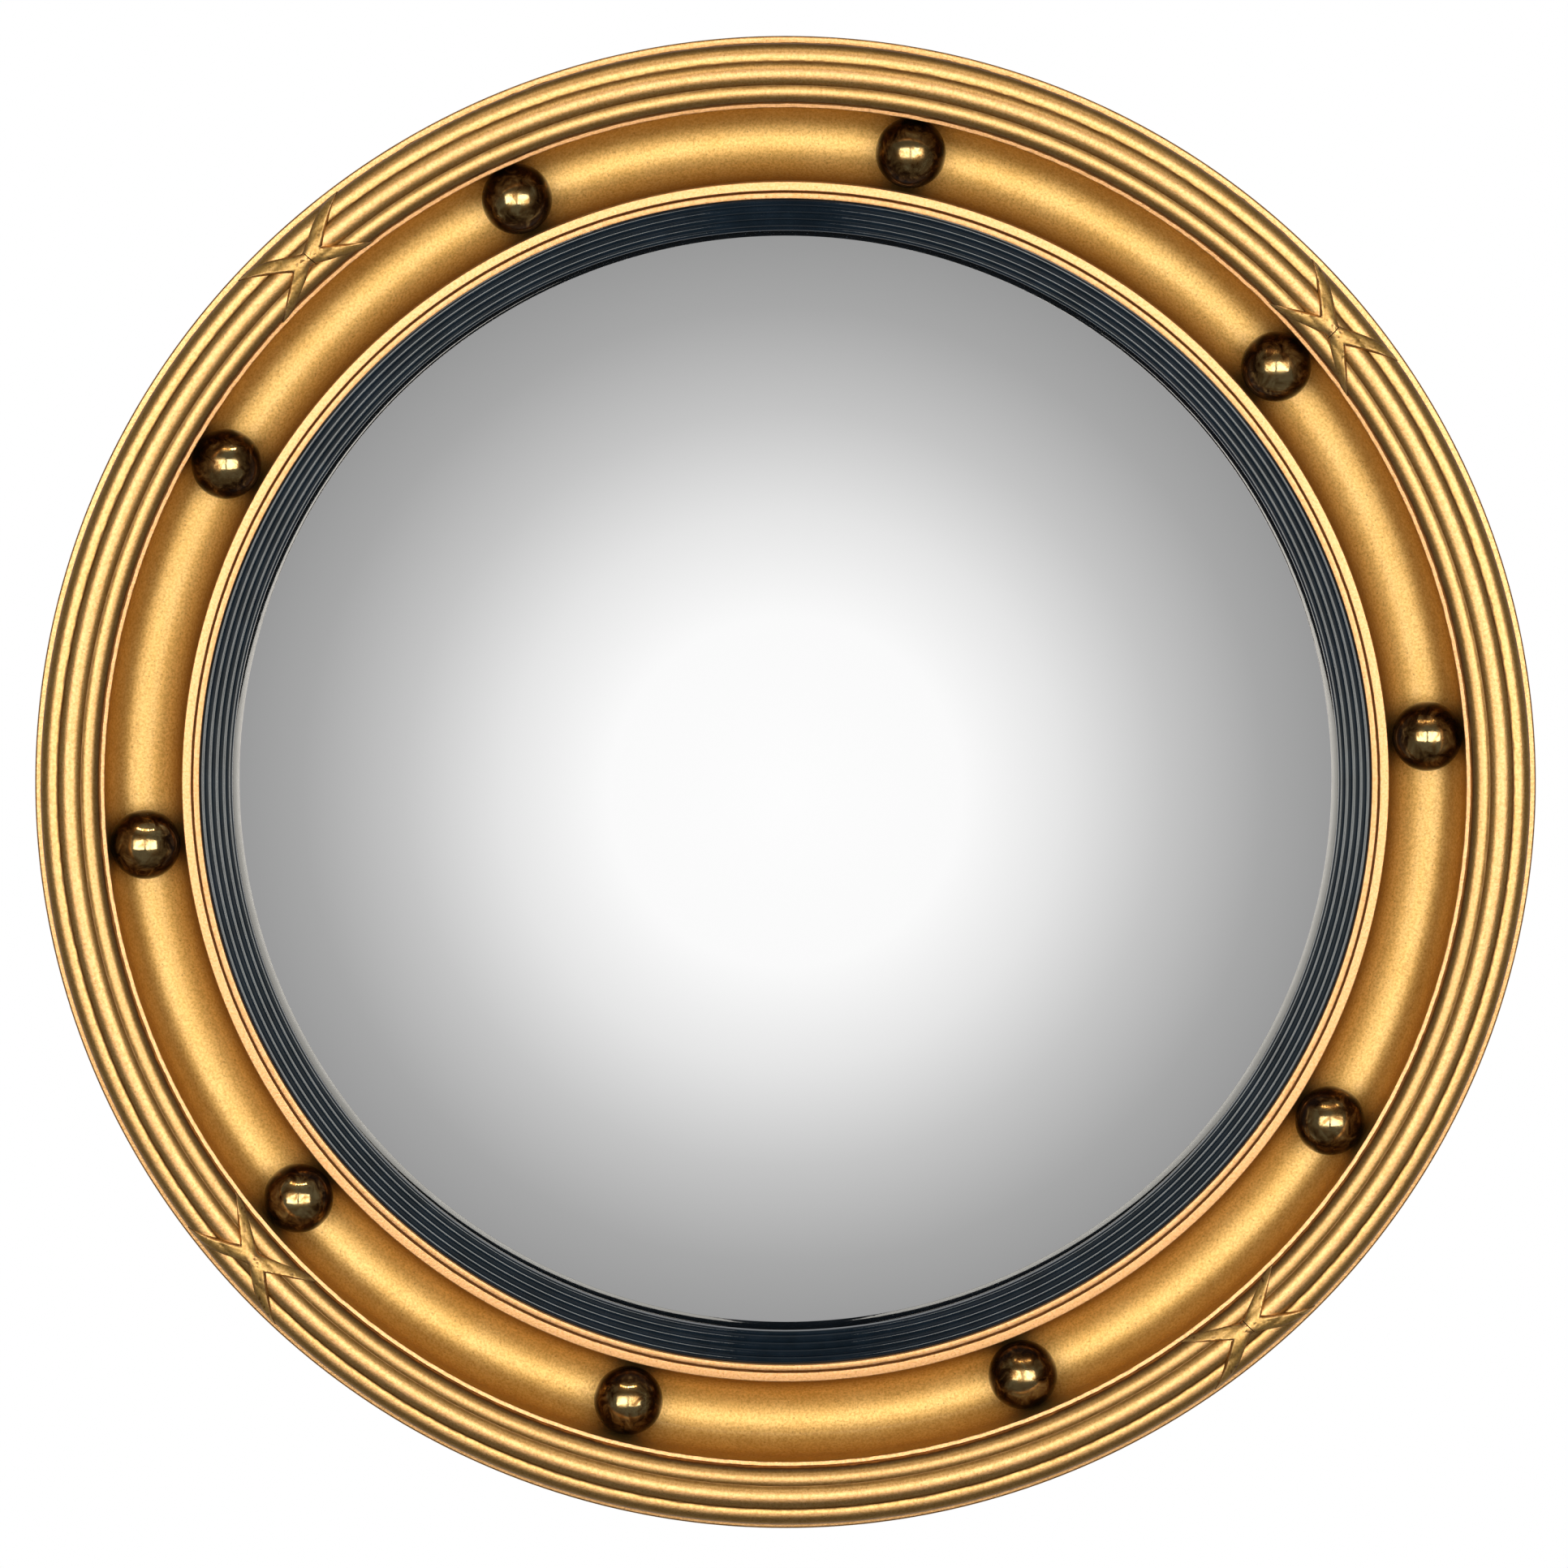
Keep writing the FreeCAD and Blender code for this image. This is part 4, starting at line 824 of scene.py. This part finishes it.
def draw_screw(mesh, seat, shoulder, slot_turn):
    """A screw on the Y axis whose head sits at a height behind the back of the frame."""
    draw_outline(mesh, [
        (0, -SCREW_DEPTH),
        (SCREW_CORE / 2, SCREW_CORE - SCREW_DEPTH),
        (SCREW_CORE / 2, 0),
        (shoulder / 2, 0),
        (shoulder / 2, seat),
        (SCREW_HEAD / 2, seat),
        (SCREW_HEAD / 2, seat + SCREW_RIM),
        (SCREW_HEAD / 4, seat + SCREW_HEAD_HEIGHT - 0.1, 2.3, 1),
        (0, seat + SCREW_HEAD_HEIGHT, 8, 1),
    ], close=False)
    turn_round(mesh, 32)
    slot_floor = seat + SCREW_HEAD_HEIGHT - SLOT_DEPTH
    for cut, facing in (((SCREW_SLOT / 2, 0, 0), (1, 0, 0)), ((-SCREW_SLOT / 2, 0, 0), (1, 0, 0)),
                        ((0, slot_floor, 0), (0, 1, 0))):
        bmesh.ops.bisect_plane(mesh, geom=mesh.verts[:] + mesh.edges[:] + mesh.faces[:],
                               plane_co=cut, plane_no=facing)
    bmesh.ops.remove_doubles(mesh, verts=mesh.verts, dist=0.001)
    strip = [face for face in mesh.faces
             if face.calc_center_median().y > slot_floor
             and abs(face.calc_center_median().x) < SCREW_SLOT / 2]
    sunk = bmesh.ops.extrude_face_region(mesh, geom=strip)["geom"]
    for vertex in corners_of(sunk):
        vertex.co.y = slot_floor
    bmesh.ops.remove_doubles(mesh, verts=mesh.verts, dist=0.001)
    bmesh.ops.dissolve_degenerate(mesh, edges=mesh.edges, dist=0.001)
    bmesh.ops.recalc_face_normals(mesh, faces=mesh.faces)
    bmesh.ops.rotate(mesh, matrix=Matrix.Rotation(math.radians(slot_turn), 3, "Y"),
                     verts=mesh.verts)


for number, slot_turn in enumerate((20, 75, 130, -35)):
    angle = math.radians(45 + 90 * number)
    screw = bmesh.new()
    draw_screw(screw, BUTTON_LIFT + BUTTON_THICKNESS + 0.1, SCREW_SHOULDER, slot_turn)
    bmesh.ops.translate(screw, verts=screw.verts, vec=(
        BUTTON_PIVOT * math.sin(angle), BACK, BUTTON_PIVOT * math.cos(angle)))
    finish_piece("button_screw_%d" % (number + 1), screw, "mirror", [brass],
                 replaced=["turn_button_screws"])
for number, (side, slot_turn) in enumerate(((-1, 10), (1, 60)), start=1):
    screw = bmesh.new()
    draw_screw(screw, HANGER_PLATE_THICKNESS, 3, slot_turn)
    bmesh.ops.translate(screw, vec=(side * HANGER_SCREW_SPACING / 2, BACK, HANGER_BAR),
                        verts=screw.verts)
    finish_piece("hanger_screw_%d" % number, screw, "mirror", [brass],
                 replaced=["hanger_screws"])


# ---------------------------------------------------------------- hanger plate
# A brass strip with round ends, screwed to the back, and a knuckle in its middle for the ring.
PLATE_LENGTH = 38
PLATE_WIDTH = 10
PLATE_HOLE = 3.1
WIRE = 2.4
WIRE_FIT = 0.3
BAR_LEVEL = HANGER_PLATE_THICKNESS + WIRE_FIT + WIRE / 2
KNUCKLE_BORE = WIRE / 2 + WIRE_FIT
KNUCKLE_WALL = 1
KNUCKLE = KNUCKLE_BORE + KNUCKLE_WALL
KNUCKLE_LENGTH = 6
KNUCKLE_FOOT = HANGER_PLATE_THICKNESS - 0.1

plate = bmesh.new()
straight = (PLATE_LENGTH - PLATE_WIDTH) / 2
draw_outline(plate, [
    (straight, PLATE_WIDTH / 2),
    (PLATE_LENGTH / 2, 0, PLATE_WIDTH / 2, -1),
    (straight, -PLATE_WIDTH / 2, PLATE_WIDTH / 2, -1),
    (-straight, -PLATE_WIDTH / 2),
    (-PLATE_LENGTH / 2, 0, PLATE_WIDTH / 2, -1),
    (-straight, PLATE_WIDTH / 2, PLATE_WIDTH / 2, -1),
])
for side in (-1, 1):
    bmesh.ops.create_circle(plate, segments=24, radius=PLATE_HOLE / 2,
                            matrix=Matrix.Translation((side * HANGER_SCREW_SPACING / 2, 0, 0)))
cut_from_sheet(plate, HANGER_PLATE_THICKNESS, SHEET_ROUND)
bmesh.ops.translate(plate, vec=(0, BACK, HANGER_BAR), verts=plate.verts)
finish_piece("hanger_strip", plate, "mirror", [brass], replaced=["hanger_plate"])

knuckle = bmesh.new()
draw_outline(knuckle, [
    (KNUCKLE_FOOT, KNUCKLE),
    (BAR_LEVEL, KNUCKLE),
    (BAR_LEVEL + KNUCKLE, 0, KNUCKLE, -1),
    (BAR_LEVEL, -KNUCKLE, KNUCKLE, -1),
    (KNUCKLE_FOOT, -KNUCKLE),
    (KNUCKLE_FOOT, -KNUCKLE_BORE),
    (BAR_LEVEL, -KNUCKLE_BORE),
    (BAR_LEVEL + KNUCKLE_BORE, 0, KNUCKLE_BORE, 1),
    (BAR_LEVEL, KNUCKLE_BORE, KNUCKLE_BORE, 1),
    (KNUCKLE_FOOT, KNUCKLE_BORE),
])
cut_from_sheet(knuckle, KNUCKLE_LENGTH, 0.15)
bmesh.ops.rotate(knuckle, matrix=Matrix.Rotation(math.radians(90), 3, "Z"), verts=knuckle.verts)
bmesh.ops.translate(knuckle, vec=(KNUCKLE_LENGTH / 2, BACK, HANGER_BAR), verts=knuckle.verts)
finish_piece("hanger_knuckle", knuckle, "mirror", [brass],
             replaced=["hanger_plate"])


# ---------------------------------------------------------------- hanger ring
# Brass wire bent to a D, whose straight bar turns in the knuckle. It goes over the wall hook.
RING_WIDTH = 16
RING_CORNER = 2.5
RING_STRAIGHT = 2

ring = bmesh.new()
bmesh.ops.create_circle(ring, segments=20, radius=WIRE / 2,
                        matrix=Matrix.Rotation(math.radians(90), 4, "Y"))
wire_end = ring.verts[:] + ring.edges[:]
flat_part = RING_WIDTH / 2 - RING_CORNER
foot = -RING_CORNER - RING_STRAIGHT
# each bend of the wire: its centre, its angle, its steps, and the straight that follows it
RING_WAY = [
    ((flat_part, 0, -RING_CORNER), 90, 8, (0, 0, -RING_STRAIGHT)),
    ((0, 0, foot), 180, 40, (0, 0, RING_STRAIGHT)),
    ((-flat_part, 0, -RING_CORNER), 90, 8, (2 * flat_part, 0, 0)),
]
bmesh.ops.translate(ring, vec=(flat_part, 0, 0), verts=ring.verts)
for centre, swing, steps, onward in RING_WAY:
    bent = bmesh.ops.spin(ring, geom=wire_end, cent=centre, axis=(0, 1, 0),
                          angle=math.radians(swing), steps=steps)
    wire_end = bent["geom_last"]
    drawn = bmesh.ops.extrude_edge_only(
        ring, edges=[part for part in wire_end if isinstance(part, bmesh.types.BMEdge)])["geom"]
    wire_end = [part for part in drawn if not isinstance(part, bmesh.types.BMFace)]
    bmesh.ops.translate(ring, vec=onward, verts=corners_of(wire_end))
bmesh.ops.remove_doubles(ring, verts=ring.verts, dist=0.01)
bmesh.ops.recalc_face_normals(ring, faces=ring.faces)
bmesh.ops.translate(ring, vec=(0, BACK + BAR_LEVEL, HANGER_BAR), verts=ring.verts)
finish_piece("hanger_d_ring", ring, "hanger_ring", [brass],
             replaced=["hanger_ring"])


# ---------------------------------------------------------------- wall bumpers
# Round rubber pads, glued to the back, that keep the mirror and its hanger off the wall.
BUMPER_RADIUS = 6
BUMPER_HEIGHT = 6
BUMPER_ROUND = 1.5
BUMPER_RING = BACK_RADIUS - 16


def grey_rubber():
    """Moulded grey rubber, dull, with a slight bloom."""
    material, tree, shader = new_material("moulded_grey_rubber")
    in_mm = in_millimetres(tree)
    bloom = add(tree, "TexNoise", {"Vector": in_mm, "Scale": 1 / 2, "Detail": 5})
    colour = add(tree, "Mix", {"Factor": bloom, 6: hex_colour("#35332F"),
                               7: hex_colour("#57534C")}, data_type="RGBA").outputs[2]
    give(tree, shader, {"Base Color": colour, "Roughness": 0.85})
    return material


rubber = grey_rubber()
for number in range(3):
    angle = math.radians(60 + 120 * number)
    pad = bmesh.new()
    draw_outline(pad, [
        (0, 0),
        (BUMPER_RADIUS, 0),
        (BUMPER_RADIUS, BUMPER_HEIGHT - BUMPER_ROUND),
        (BUMPER_RADIUS - BUMPER_ROUND, BUMPER_HEIGHT, BUMPER_ROUND, 1),
        (0, BUMPER_HEIGHT),
    ], close=False)
    turn_round(pad, 48)
    bmesh.ops.translate(pad, verts=pad.verts, vec=(
        BUMPER_RING * math.sin(angle), BACK, BUMPER_RING * math.cos(angle)))
    finish_piece("rubber_pad_%d" % (number + 1), pad, "mirror", [rubber],
                 replaced=["wall_bumper_%d" % (number + 1)])


# ---------------------------------------------------------------- room
# A studio: a small pale floor, dim walls that the camera sees as white, a fill lamp, two windows
# and two strip lamps beside the camera, seven ceiling lamps, and a glow that only the glass shows.
CAMERA_DISTANCE = 1.609
CAMERA_RISE = math.radians(6.06)
HALF_FRAME = 0.4243 / 2
AIM = Vector((-0.0004, -0.037, 0.0021))
SENSOR = 36

camera = bpy.data.objects.new("camera", bpy.data.cameras.new("camera"))
bpy.context.scene.collection.objects.link(camera)
camera.data.sensor_width = SENSOR
camera.data.lens = SENSOR / 2 * CAMERA_DISTANCE / HALF_FRAME
camera.location = AIM + CAMERA_DISTANCE * Vector((0, -math.cos(CAMERA_RISE), math.sin(CAMERA_RISE)))
camera.rotation_euler = (AIM - camera.location).to_track_quat("-Z", "Y").to_euler()
bpy.context.scene.camera = camera


def by_angle(tree, direction, axis, levels):
    """A grey level by the angle, in degrees, between a direction and an axis."""
    towards = add(tree, "VectorMath", {0: direction, 1: axis},
                  operation="DOT_PRODUCT").outputs["Value"]
    turned = add(tree, "Math", {0: towards}, operation="ARCCOSINE")
    part = add(tree, "Math", {0: turned, 1: math.pi}, operation="DIVIDE")
    return add(tree, "ValToRGB", {"Fac": part},
               stops=[(degrees / 180, grey(level)) for degrees, level in levels])


# the walls are dark behind the camera and pale behind the mirror, under a dim ceiling
WALLS = [(0, 0.02), (60, 0.03), (95, 0.12), (125, 0.75), (180, 1.05)]
CEILING = 0.12
world = bpy.data.worlds.new("studio")
bpy.context.scene.world = world
world.use_nodes = True
sky = world.node_tree
sky.nodes.clear()
ray = add(sky, "TexCoord").outputs["Generated"]
walls = by_angle(sky, ray, (0, -1, 0), WALLS)
rise = add(sky, "SeparateXYZ", {0: ray}).outputs["Z"]
above = add(sky, "MapRange", {"Value": rise, "From Min": 0.6, "From Max": 0.9})
room = add(sky, "Mix", {"Factor": above, 6: walls, 7: grey(CEILING)}, data_type="RGBA").outputs[2]
path = add(sky, "LightPath").outputs
seen = add(sky, "Math", {0: path["Is Camera Ray"], 1: path["Is Transmission Ray"]},
           operation="MAXIMUM")
shown = add(sky, "Mix", {"Factor": seen, 6: room, 7: grey(1)}, data_type="RGBA").outputs[2]
light = add(sky, "Background", {"Color": shown, "Strength": 1.0})
add(sky, "OutputWorld", {"Surface": light})


def light_group(name, pieces, state="INCLUDE"):
    """Groups the pieces that a lamp lights or, with EXCLUDE, those that it leaves out."""
    group = bpy.data.collections.new(name)
    for piece in pieces:
        group.objects.link(piece)
    for member in group.collection_objects:
        member.light_linking.link_state = state
    return group


def soft_lamp(name, centre, facing, width, height, brightness, colour, lit):
    """A flat lamp that lights one group. A brightness of 1 is as bright as white paper."""
    data = bpy.data.lights.new(name, "AREA")
    data.shape = "RECTANGLE"
    data.size = width
    data.size_y = height
    data.energy = brightness * width * height * math.pi
    data.color = hex_colour(colour)[:3]
    lamp = bpy.data.objects.new(name, data)
    bpy.context.scene.collection.objects.link(lamp)
    lamp.location = centre
    lamp.rotation_euler = Vector(facing).to_track_quat("-Z", "Y").to_euler()
    lamp.light_linking.receiver_collection = lit


WINDOW_WALL = -2.0
WINDOW_LEVEL = 0.175
WINDOW_HEIGHT = 1.16
all_but_glass = light_group("lit_by_lamps", [glass_piece], "EXCLUDE")
wood_and_gold = light_group("lit_by_ceiling_lamps", [glass_piece, slip_piece], "EXCLUDE")
gold_only = light_group("lit_by_fill", gilded_pieces)
slip_only = light_group("lit_by_strip_lamps", [slip_piece])
soft_lamp("fill", centre=(0, -2.3, 0.2), facing=(0, 1, 0), width=4.4, height=3.6, brightness=0.9,
          colour="#FFF6E8", lit=gold_only)
for name, across, width, brightness, colour, lit in [
        ("left_window", -0.81, 1.38, 2.9, "#FFF6EA", all_but_glass),
        ("right_window", 0.87, 1.58, 2.9, "#FFF6EA", all_but_glass),
        ("left_strip_lamp", -0.45, 0.5, 38, "#FFFAF2", slip_only),
        ("right_strip_lamp", 0.45, 0.5, 38, "#FFFAF2", slip_only)]:
    soft_lamp(name, (across, WINDOW_WALL, WINDOW_LEVEL), (0, 1, 0), width, WINDOW_HEIGHT,
              brightness, colour, lit)

CEILING_LAMPS = 7
LAMP_SPREAD = 14
LAMP_REACH = 1.3
LAMP_HEIGHT = 1.8
LAMP_SIDE = 0.13
for number in range(CEILING_LAMPS):
    swing = math.radians(LAMP_SPREAD * (number - (CEILING_LAMPS - 1) / 2))
    spot = Vector((LAMP_REACH * math.sin(swing), -LAMP_REACH * math.cos(swing), LAMP_HEIGHT))
    soft_lamp("ceiling_lamp_%d" % (number + 1), centre=spot, facing=-spot, width=LAMP_SIDE,
              height=LAMP_SIDE, brightness=22, colour="#FFEBC8", lit=wood_and_gold)


def set_in_room(name, mesh, material):
    """Puts a thing in the room that is no part of the mirror."""
    data = bpy.data.meshes.new(name)
    mesh.to_mesh(data)
    mesh.free()
    data.materials.append(material)
    thing = bpy.data.objects.new(name, data)
    bpy.context.scene.collection.objects.link(thing)
    return thing


# a curved backdrop around the camera, white in the middle, that only the glass shows
BACKDROP = [(0, 1.01), (12, 0.98), (19, 0.8), (26, 0.56), (33, 0.38), (41, 0.26), (60, 0.2),
            (180, 0.2)]
BACKDROP_RADIUS = 3
BACKDROP_END = 0.4
glow_material, glow_tree, plain_shader = new_material("backdrop_glow")
glow_tree.nodes.remove(plain_shader)
place = add(glow_tree, "TexCoord").outputs["Object"]
outward = add(glow_tree, "VectorMath", {0: place}, operation="NORMALIZE")
mirrored_view = (0, -math.cos(CAMERA_RISE), -math.sin(CAMERA_RISE))
level = by_angle(glow_tree, outward, mirrored_view, BACKDROP)
glow = add(glow_tree, "Emission", {"Color": level})
clear = add(glow_tree, "BsdfTransparent")
both = add(glow_tree, "AddShader", {0: glow, 1: clear})
give(glow_tree, glow_tree.nodes["Material Output"], {"Surface": both})
backdrop = bmesh.new()
bmesh.ops.create_uvsphere(backdrop, u_segments=64, v_segments=32, radius=BACKDROP_RADIUS)
bmesh.ops.bisect_plane(backdrop, geom=backdrop.verts[:] + backdrop.edges[:] + backdrop.faces[:],
                       plane_co=(0, BACKDROP_END, 0), plane_no=(0, 1, 0), clear_outer=True)
backdrop_object = set_in_room("backdrop", backdrop, glow_material)
backdrop_object.visible_camera = False
backdrop_object.visible_diffuse = False
backdrop_object.visible_shadow = False
backdrop_object.visible_transmission = False
backdrop_object.light_linking.receiver_collection = light_group("shown_in_glass", [glass_piece])

FLOOR_RADIUS = 0.65
FLOOR_CENTRE = (0, -0.55, -0.26)
floor_material, floor_tree, floor_shader = new_material("pale_floor")
give(floor_tree, floor_shader, {"Base Color": hex_colour("#F4F4F2"), "Roughness": 0.8})
floor = bmesh.new()
bmesh.ops.create_circle(floor, cap_ends=True, segments=96, radius=FLOOR_RADIUS)
bmesh.ops.translate(floor, vec=FLOOR_CENTRE, verts=floor.verts)
set_in_room("floor", floor, floor_material).visible_glossy = False

bpy.context.scene.view_settings.view_transform = "Standard"
